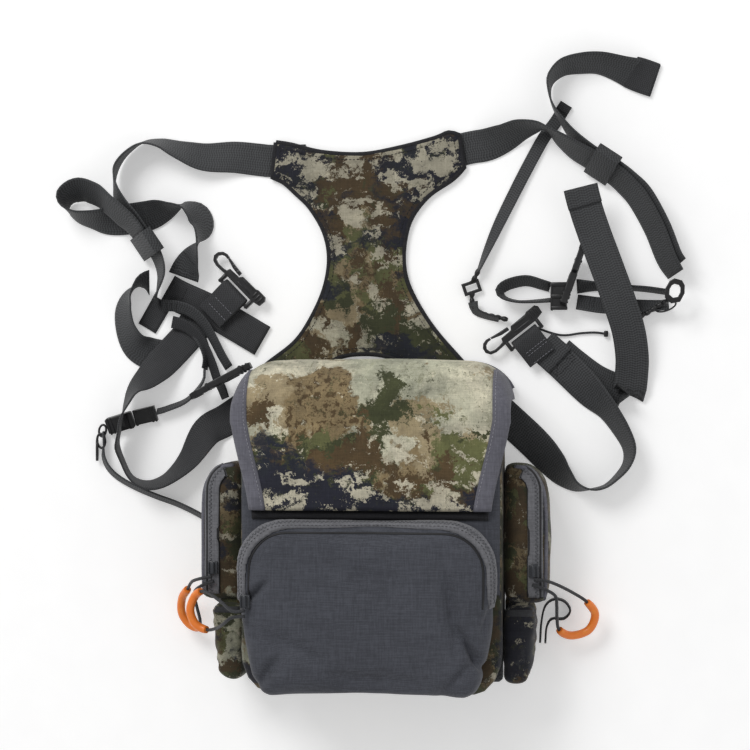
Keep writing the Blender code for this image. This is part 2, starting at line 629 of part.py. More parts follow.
def keeper(name, start, end, roll):
    """A sewn elastic sleeve round two layers of webbing."""
    wide, high = KEEPER_INSIDE
    outside = Vector((KEEPER_LENGTH, wide + 2 * KEEPER_WALL, high + 2 * KEEPER_WALL)) / 2
    piece = part(name, box_mesh(name, -outside, outside), "webbing")
    hollow = Vector((KEEPER_LENGTH, wide / 2, high / 2))
    cut(piece, -hollow, hollow)
    place = along(start, end, roll)
    piece.matrix_world = place
    CUTTERS.objects[name + "_cutter"].matrix_world = place


def plate(name, outline, holes, thickness, edge, place, finish_name="buckle"):
    """A moulded plate from a flat outline in millimetres, put where the frame says."""
    rings = [[(x * MM, y * MM) for x, y in ring] for ring in (outline, *holes)]
    piece = slab(name, rings[0], -thickness / 2, thickness / 2, edge, finish_name, rings[1:])
    piece.matrix_world = place
    return piece


# A clip's X runs along it to its loop, and its origin is the middle of its web bar.
CLIP_OUTLINE = [
    (-16, -1.2), (16, -1.2), (16, 6), (20, 5.6), (25, 5.4), (29.5, 6.6), (32, 10), (31.6, 14),
    (29, 17), (25.5, 18), (22.4, 17.6), (22.4, 15.6), (25.5, 15.6), (28, 14.4), (29.4, 12),
    (28.6, 9), (25, 7.8), (20, 8), (16.5, 8.8), (15.6, 11.6), (6, 12), (4, 14.6), (-10, 15),
    (-12, 16), (-20, 16), (-22, 13.5), (-21.5, 8), (-16, 6.6),
]
CLIP_SLOT = [(-13, 1.2), (-13, 6.1), (13, 6.1), (13, 1.2)]
GATE_PIVOT = (8, 14.3)
CLIP_GATE = [(-1.4, -1.5), (6, -0.9), (13.9, 1.4), (13.9, 3.1), (6, 2.1), (-1.4, 1.5)]
# Middle of the web bar in millimetres, heading of the loop end and turn about it in degrees.
CLIPS = {
    "a": ((-115, 183, 8.6), 134, 180),
    "b": ((-119, 117, 28.5), 207.7, -90),
    "c": ((113.5, 148, 8.5), 218, 180),
    "d": ((148.5, 193.5, 4.8), 71, 90),
}


LADDER_LOW = (133.2 * MM, 169.5 * MM, 1 * MM)
LADDER_HIGH = (144.5 * MM, 190 * MM, 16.5 * MM)


def clip_place(name):
    """The clip's frame: X along it to the loop, the web bar at its origin's side."""
    centre, heading, turn = CLIPS[name]
    frame = Matrix.Rotation(math.radians(heading), 4, "Z") @ Matrix.Rotation(math.radians(turn), 4, "X")
    return Matrix.Translation(Vector(centre) * MM) @ frame


def make_clips():
    for name in CLIPS:
        place = clip_place(name)
        plate("clip_" + name + "_body", CLIP_OUTLINE, [CLIP_SLOT], CLIP_THICKNESS, CLIP_EDGE, place)
        pivot = Matrix.Translation((GATE_PIVOT[0] * MM, GATE_PIVOT[1] * MM, 0))
        gate_thickness = CLIP_THICKNESS - 2 * CLIP_SIDE
        plate("clip_" + name + "_gate", CLIP_GATE, [], gate_thickness, CLIP_EDGE, place @ pivot)
    add_ladder_block()


def add_ladder_block():
    """The strap adjuster at the foot of clip D, moulded in one with it."""
    mesh = box_mesh("ladder_block", LADDER_LOW, LADDER_HIGH)
    block = bpy.data.objects.new("ladder_block_cutter", mesh)
    block.display_type = "WIRE"
    block.hide_render = True
    CUTTERS.objects.link(block)
    outline = PARTS.objects["clip_d_body"]
    place = outline.matrix_basis.copy()
    solid = bpy.data.meshes.new_from_object(outline)
    bpy.data.objects.remove(outline)
    shape = bmesh.new()
    shape.from_mesh(solid)
    bmesh.ops.remove_doubles(shape, verts=shape.verts, dist=0.001 * MM)
    shape.to_mesh(solid)
    shape.free()
    solid.materials.clear()
    piece = part("clip_d_body", solid, "buckle")
    piece.matrix_world = place
    joined = piece.modifiers.new("ladder_block", "BOOLEAN")
    joined.operation = "UNION"
    joined.object = block


def tab(name, clip, reach, sewn_height):
    """A short webbing that passes round a clip's web bar, its two layers sewn together."""
    radius = TAB_LOOP + WEBBING_THICKNESS / 2
    layer = WEBBING_THICKNESS / 2 + 0.1 * MM
    drop = sewn_height
    upper = [(-reach, drop + layer), (-reach * 0.5, drop + layer), (-radius * 2, radius * 0.7)]
    turn = [(radius * math.sin(math.radians(a)), radius * math.cos(math.radians(a)))
            for a in range(-10, 191, 25)]
    lower = [(-radius * 2, -radius * 0.7), (-reach * 0.5, drop - layer), (-reach, drop - layer)]
    stations = [(x, y, 0, 90) for x, y in upper + turn + lower]
    piece = ribbon(name, stations, TAB_WIDTH, step=20 * MM, on_table=False)
    place = clip_place(clip)
    away = (place.to_3x3() @ Vector((0, -1, 0))).normalized()
    bar = (place.to_3x3() @ Vector((1, 0, 0))).normalized()
    up = Vector((0, 0, 1))
    side = up.cross(-away)
    frame = Matrix((-away, up, side)).transposed().to_4x4()
    if side.dot(bar) < 0:
        bar = -bar
    piece.matrix_world = Matrix.Translation(place.translation) @ frame


BUCKLE_SOCKET = [
    (-11, -5.5), (-9, -6.5), (10, -6.5), (11, -5.5), (11, 5.5), (10, 6.5), (-9, 6.5), (-11, 5.5),
]
BUCKLE_PLUG = [(-9, -6), (9, -6), (9, 6), (-9, 6)]
OVAL_PLATE = [(x, y * 0.53) for x, y in arc((0, 0), 8.5, 0, 337.5, 16)]
TEARDROP = [(-9, -3), (-6, -6), (0, -7.5), (7, -6), (10, 0), (7, 6), (0, 7.5), (-6, 6), (-9, 3)]
RECTANGLE = [(-5, -7), (5, -7), (5, 7), (-5, 7)]
OVAL_SLOT = [(x * 0.6, y * 0.6) for x, y in OVAL_PLATE]
TEARDROP_SLOT = [(x * 0.55, y * 0.55) for x, y in TEARDROP]
RECTANGLE_SLOT = [(-2.4, -4.4), (-2.4, 4.4), (2.4, 4.4), (2.4, -4.4)]


# Each lies along X between its two points, in millimetres, turned about that line in degrees.
KEEPERS = {
    "keeper_left": ((-187.2, 229.8, 18.6), (-176.6, 213.5, 15.6), 60),
    "keeper_right": ((163.5, 285.5, 15.8), (180.3, 274.3, 15.8), 57),
}
# Outline, holes, thickness, rounding, then the two points and the turn.
PLATES = {
    "oval_adjuster_left": (
        OVAL_PLATE, [OVAL_SLOT], 2.2, 0.5, (-224.4, 64, 5.8), (-224.4, 56, 5.8), 75,
    ),
    "adjuster_right": (TEARDROP, [TEARDROP_SLOT], 3, 0.6, (228, 190, 24), (224, 176, 24), 0),
    "tether_adjuster": (RECTANGLE, [RECTANGLE_SLOT], 2.4, 0.6, (70, 190, 4), (72, 184, 4), 0),
    "mini_buckle_socket": (BUCKLE_SOCKET, [], 5.5, 0.8, (-215, 79, 5), (-197, 84.5, 5), 15),
    "mini_buckle_plug": (BUCKLE_PLUG, [], 4.5, 0.8, (-194.4, 85.6, 5), (-177.4, 89.6, 5), 15),
}


def make_small_parts():
    for name, (start, end, turn) in KEEPERS.items():
        keeper(name, Vector(start) * MM, Vector(end) * MM, turn)
    for name, (outline, holes, thickness, edge, start, end, turn) in PLATES.items():
        place = along(Vector(start) * MM, Vector(end) * MM, turn)
        plate(name, outline, holes, thickness * MM, edge * MM, place)


def main():
    make_pouch()
    make_lid()
    make_front_pocket()
    make_side_pockets()
    make_pulls()
    make_yoke()
    make_straps()
    make_clips()
    tab("clip_tab_a", "a", 26 * MM, 0)
    tab("clip_tab_c", "c", 20 * MM, 0.6 * MM)
    make_small_parts()


main()
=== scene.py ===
"""Binocular harness pack: the camera and its straps first, then the pack, its pockets and its fittings."""

import json
import math

import bmesh
import bpy
from mathutils import Matrix, Vector, noise
from mathutils.bvhtree import BVHTree

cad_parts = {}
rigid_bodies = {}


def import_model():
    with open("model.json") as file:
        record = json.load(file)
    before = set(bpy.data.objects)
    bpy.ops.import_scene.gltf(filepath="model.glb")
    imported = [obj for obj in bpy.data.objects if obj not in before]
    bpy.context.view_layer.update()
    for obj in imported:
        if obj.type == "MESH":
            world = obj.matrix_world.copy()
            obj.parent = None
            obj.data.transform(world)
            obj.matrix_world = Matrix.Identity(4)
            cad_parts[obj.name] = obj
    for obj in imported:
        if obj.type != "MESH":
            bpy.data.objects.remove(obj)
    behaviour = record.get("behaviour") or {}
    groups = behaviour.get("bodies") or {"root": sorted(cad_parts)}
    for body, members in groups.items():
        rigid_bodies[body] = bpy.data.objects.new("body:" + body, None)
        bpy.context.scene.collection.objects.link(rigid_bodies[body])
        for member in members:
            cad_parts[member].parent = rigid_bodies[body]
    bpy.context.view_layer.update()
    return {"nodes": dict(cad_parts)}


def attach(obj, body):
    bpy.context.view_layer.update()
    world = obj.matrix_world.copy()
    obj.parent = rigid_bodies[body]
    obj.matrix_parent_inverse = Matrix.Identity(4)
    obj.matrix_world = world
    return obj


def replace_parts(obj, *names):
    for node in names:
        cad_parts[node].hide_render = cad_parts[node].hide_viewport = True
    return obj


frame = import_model()
MM = 0.001
NODES = frame["nodes"]
SIDES = (("left", -1), ("right", 1))

# --- Camera, floor and light --------------------------------------------------------------

CAMERA_PLACE = (0.16812, 0.11934, 1.59064)
CAMERA_LEAN = 6.2  # degrees from straight above, towards the right
CAMERA_LENS = 98.5


def set_camera():
    """A long lens almost straight above the pack, as it lies on the table."""
    data = bpy.data.cameras.new("camera")
    data.lens = CAMERA_LENS
    data.sensor_width = 36
    data.clip_end = 20
    camera = bpy.data.objects.new("camera", data)
    bpy.context.scene.collection.objects.link(camera)
    camera.location = CAMERA_PLACE
    camera.rotation_euler = (0, math.radians(CAMERA_LEAN), 0)
    bpy.context.scene.camera = camera


def area_light(name, place, aim, size, power):
    data = bpy.data.lights.new(name, "AREA")
    data.shape = "SQUARE"
    data.size = size
    data.energy = power
    lamp = bpy.data.objects.new(name, data)
    bpy.context.scene.collection.objects.link(lamp)
    lamp.location = place
    ahead = Vector(aim) - Vector(place)
    lamp.rotation_euler = ahead.to_track_quat("-Z", "Y").to_euler()


def set_light():
    """A soft key light from the upper left, a weak fill and an even pale sky."""
    area_light("key_light", (-0.9, 1.5, 1.9), (0, 0.08, 0), 1.0, 25)
    area_light("fill_light", (1.5, -0.6, 1.5), (0, 0.1, 0), 1.8, 3.5)
    world = bpy.data.worlds.new("studio")
    bpy.context.scene.world = world
    world.use_nodes = True
    sky = world.node_tree.nodes["Background"]
    sky.inputs["Color"].default_value = (1, 1, 1, 1)
    sky.inputs["Strength"].default_value = 0.44
    bpy.context.scene.view_settings.view_transform = "Standard"


# --- Node helpers -------------------------------------------------------------------------


class Net:
    """A node tree under construction: each call adds a node and gives its first output."""

    def __init__(self, tree):
        self.tree = tree

    def node(self, kind, inputs=None, **settings):
        made = self.tree.nodes.new(kind)
        for key, value in settings.items():
            setattr(made, key, value)
        for key, value in (inputs or {}).items():
            self.put(made.inputs[key], value)
        return made

    def put(self, socket, value):
        if isinstance(value, bpy.types.NodeSocket):
            self.tree.links.new(value, socket)
        elif value is not None:
            socket.default_value = value

    def maths(self, operation, first, second=0.0, third=0.0, clamp=False):
        return self.node("ShaderNodeMath", {0: first, 1: second, 2: third}, operation=operation,
                         use_clamp=clamp).outputs[0]

    def times_plus(self, first, times, plus, clamp=False):
        return self.maths("MULTIPLY_ADD", first, times, plus, clamp)

    def noise(self, place, scale, detail=2.0, roughness=0.5, output="Fac"):
        return self.node("ShaderNodeTexNoise", {
            "Vector": place, "Scale": scale, "Detail": detail, "Roughness": roughness,
        }).outputs[output]

    def mix(self, share, first, second, blend="MIX"):
        return self.node("ShaderNodeMix", {0: share, 6: first, 7: second}, data_type="RGBA",
                         blend_type=blend).outputs[2]

    def step(self, value, low, high):
        """0 below low and 1 above high, smooth between them."""
        return self.node("ShaderNodeMapRange", {"Value": value, "From Min": low, "From Max": high},
                         interpolation_type="SMOOTHSTEP").outputs[0]

    def move(self, place, shift=(0, 0, 0), scale=(1, 1, 1), turn=(0, 0, 0)):
        return self.node("ShaderNodeMapping", {
            "Vector": place, "Location": shift, "Scale": scale, "Rotation": turn,
        }).outputs[0]

    def field(self, place, scale, detail, roughness, low, high):
        """Noise made a mask: 0 below low and 1 above high."""
        return self.step(self.noise(place, scale, detail, roughness), low, high)

    def vector(self, operation, *values, **named):
        inputs = {**dict(enumerate(values)), **named}
        return self.node("ShaderNodeVectorMath", inputs, operation=operation).outputs[0]

    def split(self, place):
        return self.node("ShaderNodeSeparateXYZ", {"Vector": place}).outputs

    def shaded(self, colour, tone):
        """A colour made lighter or darker by a tone."""
        grey = self.node("ShaderNodeCombineColor", {0: tone, 1: tone, 2: tone}).outputs[0]
        return self.mix(1.0, colour, grey, "MULTIPLY")

    def placed_group(self, tree, place, **values):
        """A shared node group at a place, with its own values or links."""
        made = self.node("ShaderNodeGroup", node_tree=tree)
        for key, value in {"Vector": place, **values}.items():
            self.put(made.inputs[key], value)
        return made.outputs


def group(name, inputs, outputs):
    """A shader node group with its sockets, as a Net, and its input and output nodes."""
    tree = bpy.data.node_groups.new(name, "ShaderNodeTree")
    for label, kind, value in inputs:
        socket = tree.interface.new_socket(label, in_out="INPUT", socket_type=kind)
        if value is not None:
            socket.default_value = value
    for label, kind in outputs:
        tree.interface.new_socket(label, in_out="OUTPUT", socket_type=kind)
    net = Net(tree)
    return net, net.node("NodeGroupInput"), net.node("NodeGroupOutput")


VECTOR, FLOAT, COLOUR = "NodeSocketVector", "NodeSocketFloat", "NodeSocketColor"


def make_weave():
    """Crossed threads on three faces of space, so that it follows any side of a sewn piece."""
    net, given, out = group(
        "crossed_threads", [("Vector", VECTOR, None), ("Threads", FLOAT, 900.0)],
        [("Height", FLOAT), ("Shade", FLOAT)],
    )
    place = given.outputs["Vector"]
    waves = []
    for part in net.split(place):
        turned = net.maths("MULTIPLY", part, given.outputs["Threads"])
        waves.append(net.maths("SINE", net.maths("MULTIPLY", turned, math.tau)))
    product = net.maths("MULTIPLY", net.maths("ADD", waves[0], waves[2]), waves[1])
    warp = net.noise(net.move(place, scale=(1, 0.07, 1)), 950.0, 2.0, 0.65)
    weft = net.noise(net.move(place, scale=(0.07, 1, 0.07)), 950.0, 2.0, 0.65)
    slub = net.maths("ADD", warp, weft)
    height = net.times_plus(product, 0.1, net.maths("MULTIPLY", slub, 0.5))
    net.put(out.inputs["Height"], height)
    net.put(out.inputs["Shade"], net.step(height, 0.3, 0.72))
    return net.tree


def make_webbing_weave():
    """Chevron ribs along a strap, from the strap's own lengthwise and crosswise metres."""
    net, given, out = group(
        "webbing_ribs", [("Vector", VECTOR, None), ("Ribs", FLOAT, 620.0)],
        [("Height", FLOAT), ("Shade", FLOAT)],
    )
    place = given.outputs["Vector"]
    along, across = [net.maths("MULTIPLY", part, given.outputs["Ribs"]) for part in net.split(place)[:2]]
    fold = net.maths("MULTIPLY", net.maths("PINGPONG", across, 2.0), 0.3)
    rib = net.maths("SINE", net.maths("MULTIPLY", net.maths("ADD", along, fold), math.tau))
    cord = net.maths("SINE", net.maths("MULTIPLY", across, math.tau))
    height = net.times_plus(cord, 0.18, net.times_plus(rib, 0.3, 0.5))
    grain = net.noise(net.move(place, scale=(1, 3, 1)), 1300.0, 2.0, 0.6)
    height = net.times_plus(grain, 0.45, height)
    net.put(out.inputs["Height"], height)
    net.put(out.inputs["Shade"], net.step(height, 0.3, 1.1))
    return net.tree


def make_mottle():
    """Slow and fine changes of shade, as in dyed cloth that has been handled."""
    net, given, out = group(
        "dye_mottle",
        [("Vector", VECTOR, None), ("Base", COLOUR, (0.1, 0.1, 0.1, 1)), ("Shade", FLOAT, 0.5),
         ("Depth", FLOAT, 0.35)],
        [("Color", COLOUR), ("Wear", FLOAT)],
    )
    slow = net.noise(given.outputs["Vector"], 22.0, 3.0, 0.55)
    fine = net.noise(given.outputs["Vector"], 420.0, 3.0, 0.75)
    both = net.times_plus(slow, 0.45, net.maths("MULTIPLY", fine, 0.5))
    light = net.step(net.times_plus(given.outputs["Shade"], 0.5, both), 0.3, 1.15)
    swing = net.maths("MULTIPLY", given.outputs["Depth"], net.times_plus(light, 1.7, -1.0))
    net.put(out.inputs["Color"], net.shaded(given.outputs["Base"], net.maths("ADD", swing, 1.0)))
    net.put(out.inputs["Wear"], light)
    return net.tree


SAND = (0.68, 0.63, 0.48, 1)
PALE = (0.5, 0.5, 0.37, 1)
ASH = (0.2, 0.205, 0.155, 1)
TAN = (0.3, 0.225, 0.115, 1)
BROWN = (0.09, 0.056, 0.022, 1)
OLIVE = (0.05, 0.056, 0.02, 1)
MOSS = (0.13, 0.135, 0.05, 1)
INK = (0.01, 0.013, 0.028, 1)


def make_camouflage():
    """Ragged patches of leaf, bark, twig and shadow. Cover is how far the dark patches spread; changed
    across the lid, it paints shade and light there.
    """
    net, given, out = group(
        "camouflage_print", [("Vector", VECTOR, None), ("Size", FLOAT, 1.0), ("Cover", FLOAT, 0.0)],
        [("Color", COLOUR)],
    )
    cover = given.outputs["Cover"]
    place = net.vector("SCALE", given.outputs["Vector"], Scale=given.outputs["Size"])
    ragged = net.noise(place, 50.0, 6.0, 0.75, "Color")
    drift = net.vector("SUBTRACT", ragged, (0.5, 0.5, 0.5))
    bent = net.vector("ADD", place, net.vector("SCALE", drift, Scale=0.03))

    def tinted(before, mask, share, ink):
        return net.mix(net.maths("MULTIPLY", mask, share), before, ink)

    def patch(before, shift, scale, low, soft, ink, stretch=(1, 1, 1), share=1.0):
        moved = net.move(bent, shift=shift, scale=stretch, turn=(0.2, 0.4, 0.7))
        spread = net.times_plus(cover, 0.085, net.noise(moved, scale, 5.0, 0.62))
        return tinted(before, net.step(spread, low, low + soft), share, ink)

    colour = net.mix(net.field(place, 14.0, 3.0, 0.5, 0.4, 0.62), SAND, PALE)
    smoke_place = net.move(bent, shift=(0.4, 0, 0.2))
    colour = tinted(colour, net.field(smoke_place, 19.0, 5.0, 0.65, 0.46, 0.68), 0.8, ASH)
    colour = tinted(colour, net.field(bent, 240.0, 3.0, 0.7, 0.56, 0.62), 0.4, MOSS)
    colour = patch(colour, (0.3, 0.1, 0), 17.0, 0.55, 0.02, TAN, (1, 1.5, 1), 0.85)
    bark_place = net.move(bent, shift=(0.9, 0.4, 0.3), scale=(1.2, 1, 1))
    bark_field = net.times_plus(cover, 0.06, net.noise(bark_place, 13.0, 4.0, 0.6))
    twigs = net.node("ShaderNodeTexVoronoi", {"Vector": net.move(bent, scale=(1.0, 0.7, 1.0)),
                                              "Scale": 170.0}, feature="DISTANCE_TO_EDGE")
    leaf = tinted(BROWN, net.step(twigs.outputs["Distance"], 0.22, 0.1), 0.75, TAN)
    colour = net.mix(net.step(bark_field, 0.53, 0.56), colour, leaf)
    colour = patch(colour, (0.1, 0.8, 0.5), 20.0, 0.565, 0.018, OLIVE, (1, 1.2, 1))
    colour = patch(colour, (0.6, 0.3, 0.9), 31.0, 0.6, 0.02, MOSS)
    colour = patch(colour, (0.45, 0.75, 0.35), 24.0, 0.6, 0.02, BROWN, (1.3, 1, 1))
    colour = patch(colour, (0.2, 0.5, 0.2), 13.0, 0.575, 0.05, INK, (0.8, 1.4, 1), 0.95)
    colour = patch(colour, (0.7, 0.9, 0.1), 44.0, 0.68, 0.015, SAND, (1, 1.8, 1), 0.8)
    colour = tinted(colour, net.field(bent, 170.0, 3.0, 0.65, 0.62, 0.66), 0.75, OLIVE)
    chip_place = net.move(bent, shift=(0.5, 0.5, 0.5))
    colour = tinted(colour, net.field(chip_place, 130.0, 3.0, 0.65, 0.655, 0.68), 0.7, SAND)
    wash = net.maths("MULTIPLY", net.noise(bent, 70.0, 7.0, 0.75), 2.0)
    net.put(out.inputs["Color"], net.shaded(colour, wash))
    return net.tree


def make_handling():
    """Fine scratches and smudges on moulded plastic, as roughness and height."""
    net, given, out = group("handling_marks", [("Vector", VECTOR, None), ("Roughness", FLOAT, 0.4)],
                            [("Roughness", FLOAT), ("Height", FLOAT), ("Dust", FLOAT)])
    smudge = net.noise(given.outputs["Vector"], 90.0, 4.0, 0.65)
    grain = net.noise(given.outputs["Vector"], 2600.0, 2.0, 0.6)
    rough = net.times_plus(smudge, 0.28, given.outputs["Roughness"])
    net.put(out.inputs["Roughness"], net.maths("SUBTRACT", rough, 0.12, clamp=True))
    net.put(out.inputs["Height"], grain)
    net.put(out.inputs["Dust"], net.field(given.outputs["Vector"], 150.0, 5.0, 0.7, 0.5, 0.75))
    return net.tree


def material(name):
    """A new material: it, its Net, its shader and its texture coordinates."""
    made = bpy.data.materials.new(name)
    made.use_nodes = True
    net = Net(made.node_tree)
    return made, net, made.node_tree.nodes["Principled BSDF"], net.node("ShaderNodeTexCoord").outputs


def surface(net, shader, height, strength, depth, **values):
    """Sets a shader's inputs by name, and its Normal from a height with a depth in metres."""
    for key, value in values.items():
        net.put(shader.inputs[key.replace("_", " ")], value)
    bump = net.node("ShaderNodeBump", {"Height": height, "Strength": strength, "Distance": depth})
    net.put(shader.inputs["Normal"], bump.outputs["Normal"])


def cloth(name, base, roughness, threads, dye_depth=0.35, sheen=0.25, bump_mm=0.12):
    """A plain dyed cloth."""
    made, net, shader, at = material(name)
    weave = net.placed_group(WEAVE, at["Object"], Threads=threads)
    dye = net.placed_group(MOTTLE, at["Object"], Shade=weave["Shade"], Base=base, Depth=dye_depth)
    surface(net, shader, weave["Height"], 0.55, bump_mm * MM, Base_Color=dye["Color"],
            Roughness=net.times_plus(dye["Wear"], -0.12, roughness + 0.06, clamp=True),
            Sheen_Weight=sheen, Sheen_Roughness=0.5)
    return made


def camouflage_cloth(name, size, shade_and_print_covers, shade=1.0, shift=(0, 0, 0)):
    """Printed cloth. The two cover values give the spread of dark patches at two places along Y, in metres;
    on the lid their change paints shade and light. Shade below 1 darkens the whole cloth.
    """
    made, net, shader, at = material(name)
    (first_y, first), (second_y, second) = shade_and_print_covers
    # Dark patch spread by place along Y: painted shade and light where it changes over the lid.
    spread = net.node("ShaderNodeMapRange", {
        "Value": net.split(at["Object"])["Y"], "From Min": first_y, "From Max": second_y,
        "To Min": first, "To Max": second,
    }).outputs[0]
    ink = net.placed_group(CAMOUFLAGE, net.move(at["Object"], shift=shift), Size=size, Cover=spread)
    weave = net.placed_group(WEAVE, at["Object"], Threads=1100.0)
    tone = net.times_plus(weave["Shade"], 0.3 * shade, 0.85 * shade)
    surface(net, shader, weave["Height"], 0.6, 0.25 * MM, Base_Color=net.shaded(ink["Color"], tone),
            Roughness=net.times_plus(weave["Shade"], -0.1, 0.9), Sheen_Weight=0.1)
    return made


def webbing(name, base, ribs=520.0):
    """Woven strap, which reads the strap's own length and width."""
    made, net, shader, at = material(name)
    weave = net.placed_group(RIBS, at["UV"], Ribs=ribs)
    dye = net.placed_group(MOTTLE, at["Object"], Shade=weave["Shade"], Base=base, Depth=0.55)
    surface(net, shader, weave["Height"], 0.6, 0.3 * MM, Base_Color=dye["Color"],
            Roughness=net.times_plus(weave["Shade"], -0.16, 0.78, clamp=True), Sheen_Weight=0.08)
    return made


def plastic(name, base, roughness, coat=0.0):
    """Moulded plastic with handling marks."""
    made, net, shader, at = material(name)
    marks = net.placed_group(HANDLING, at["Object"], Roughness=roughness)
    dusty = [min(1.0, channel * 1.6 + 0.012) for channel in base[:3]] + [1]
    surface(net, shader, marks["Height"], 0.25, 0.06 * MM, Coat_Weight=coat,
            Base_Color=net.mix(marks["Dust"], base, dusty), Roughness=marks["Roughness"])
    return made


def thread(name, base):
    """Twisted sewing thread."""
    made, net, shader, at = material(name)
    twist = net.noise(at["Object"], 3200.0, 1.0, 0.5)
    darker = [channel * 0.55 for channel in base[:3]] + [1]
    surface(net, shader, twist, 0.5, 0.1 * MM, Roughness=0.6,
            Base_Color=net.mix(net.step(twist, 0.35, 0.6), darker, base))
    return made


def floor_paper():
    """White paper that glows a little, so that its far end doesn't turn grey."""
    made, net, shader, at = material("white_paper")
    tone = net.field(at["Object"], 40.0, 3.0, 0.6, 0.2, 0.8)
    net.put(shader.inputs["Base Color"], net.mix(tone, (0.93, 0.93, 0.93, 1), (0.96, 0.96, 0.96, 1)))
    shader.inputs["Roughness"].default_value = 0.85
    shader.inputs["Emission Color"].default_value = (1, 1, 1, 1)
    shader.inputs["Emission Strength"].default_value = 0.3
    return made


WEAVE = make_weave()
RIBS = make_webbing_weave()
MOTTLE = make_mottle()
CAMOUFLAGE = make_camouflage()
HANDLING = make_handling()

# Painted shade and light on the lid: its dark patches spread wide near the hinge (y 0.015 m) for the shadow
# under the pocket's top, and thin out towards its bend (y 0.115 m) for the light from above.
CAMO_PAINTED_SHADING = camouflage_cloth("camouflage_cloth", 0.8, ((0.015, 2.3), (0.115, -0.75)), 1.0,
                        (0.31, 0.12, 0.05))
CAMO_YOKE = camouflage_cloth("camouflage_yoke_cloth", 0.95, ((0.12, 0.15), (0.28, 2.1)), 0.62,
                             (0.02, 0.4, 0.1))
# Painted shade in part: shade 0.52 and a heavy dark cover make this copy of the camouflage darker, partly
# its own darker look and partly the shade that falls on the side pockets; the sleeves, gussets and pouch
# wear it too.
CAMO_SMALL_SHADED = camouflage_cloth("camouflage_stretch_cloth", 1.2, ((-0.1, 0.8), (0.05, 0.85)), 0.52)
SLATE = cloth("slate_cloth", (0.063, 0.067, 0.083, 1), 0.86, 900.0, 0.34, 0.1, 0.3)
BINDING = cloth("grey_binding", (0.138, 0.137, 0.166, 1), 0.84, 1200.0, 0.3, 0.12, 0.25)
PIPING = cloth("grey_piping", (0.16, 0.161, 0.175, 1), 0.85, 1300.0, 0.34, 0.1, 0.25)
LINING = cloth("black_lining", (0.016, 0.016, 0.019, 1), 0.9, 800.0, 0.4, 0.05)
BACK_MESH = cloth("back_mesh", (0.035, 0.037, 0.04, 1), 0.92, 330.0, 0.6, 0.1, 0.5)
ELASTIC = cloth("woven_elastic", (0.034, 0.035, 0.039, 1), 0.8, 1000.0, 0.35, 0.1, 0.2)
STRAP = webbing("charcoal_webbing", (0.043, 0.045, 0.048, 1))
STRAP_DARK = webbing("black_webbing", (0.031, 0.032, 0.035, 1), 700.0)
PLASTIC = plastic("black_plastic", (0.011, 0.011, 0.012, 1), 0.34)
PLASTIC_RUBBED = plastic("rubbed_black_plastic", (0.018, 0.018, 0.02, 1), 0.28)
SLIDER_PAINT = plastic("painted_slider", (0.03, 0.033, 0.04, 1), 0.34, 0.2)
COIL = plastic("zip_coil", (0.1, 0.102, 0.113, 1), 0.5)
ORANGE = plastic("orange_sleeve", (0.95, 0.235, 0.03, 1), 0.34, 0.15)
THREAD_LIGHT = thread("light_thread", (0.36, 0.355, 0.4, 1))
# Dark sewing thread, and also the colour of the dark bands painted as shadow along the zips.
THREAD_DARK_AND_SHADOW = thread("dark_thread_and_painted_shadow", (0.014, 0.014, 0.016, 1))
CORD_DARK = webbing("braided_cord", (0.03, 0.031, 0.035, 1), 900.0)


# --- Mesh helpers -------------------------------------------------------------------------


def dressed(piece, finish, body, slot=None):
    """Gives a piece its finish and its body. Its slot is not used."""
    piece.data.materials.clear()
    piece.data.materials.append(finish)
    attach(piece, body)
    return piece


def add(name, mesh, finish, body="pack", slot=None):
    """A finished piece, riding on its body."""
    piece = bpy.data.objects.new(name, mesh)
    bpy.context.scene.collection.objects.link(piece)
    return dressed(piece, finish, body, slot)


def upholstered(piece, node, finish, slot):
    """Dresses a padded piece of the pack and lets it stand for its CAD node."""
    for face in piece.data.polygons:
        face.use_smooth = True
    dressed(piece, finish, "pack", slot)
    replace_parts(piece, node)
    return piece


def only(*pieces):
    """Makes these the only pieces selected, and the first the active one."""
    bpy.ops.object.select_all(action="DESELECT")
    for piece in pieces:
        piece.select_set(True)
    bpy.context.view_layer.objects.active = pieces[0]


def modify(piece, kind, **settings):
    """Adds a modifier with its settings."""
    made = piece.modifiers.new(kind.lower(), kind)
    for key, value in settings.items():
        setattr(made, key, value)
    return made


def apply_all(piece):
    """Applies a piece's modifiers in their order."""
    only(piece)
    for modifier in list(piece.modifiers):
        bpy.ops.object.modifier_apply(modifier=modifier.name)


def metres(points):
    """Points in millimetres as vectors in metres."""
    return [Vector([part * MM for part in point]) for point in points]


def between(first, second, share):
    """A value so far from the first to the second."""
    return first + (second - first) * share


def smoothed(stations, step):
    """Points a step apart along a smooth curve through the stations."""
    rows = [Vector(station) for station in stations]
    ends = [rows[0] * 2 - rows[1]] + rows + [rows[-1] * 2 - rows[-2]]
    points = []
    for before, first, second, after in zip(ends, ends[1:], ends[2:], ends[3:]):
        length = (Vector(second[:3]) - Vector(first[:3])).length
        count = max(1, round(length / step))
        for index in range(count):
            t = index / count
            points.append(
                first
                + (second - before) * (t / 2)
                + (2 * before - 5 * first + 4 * second - after) * (t * t / 2)
                + (3 * first - before - 3 * second + after) * (t**3 / 2)
            )
    return points + [rows[-1]]


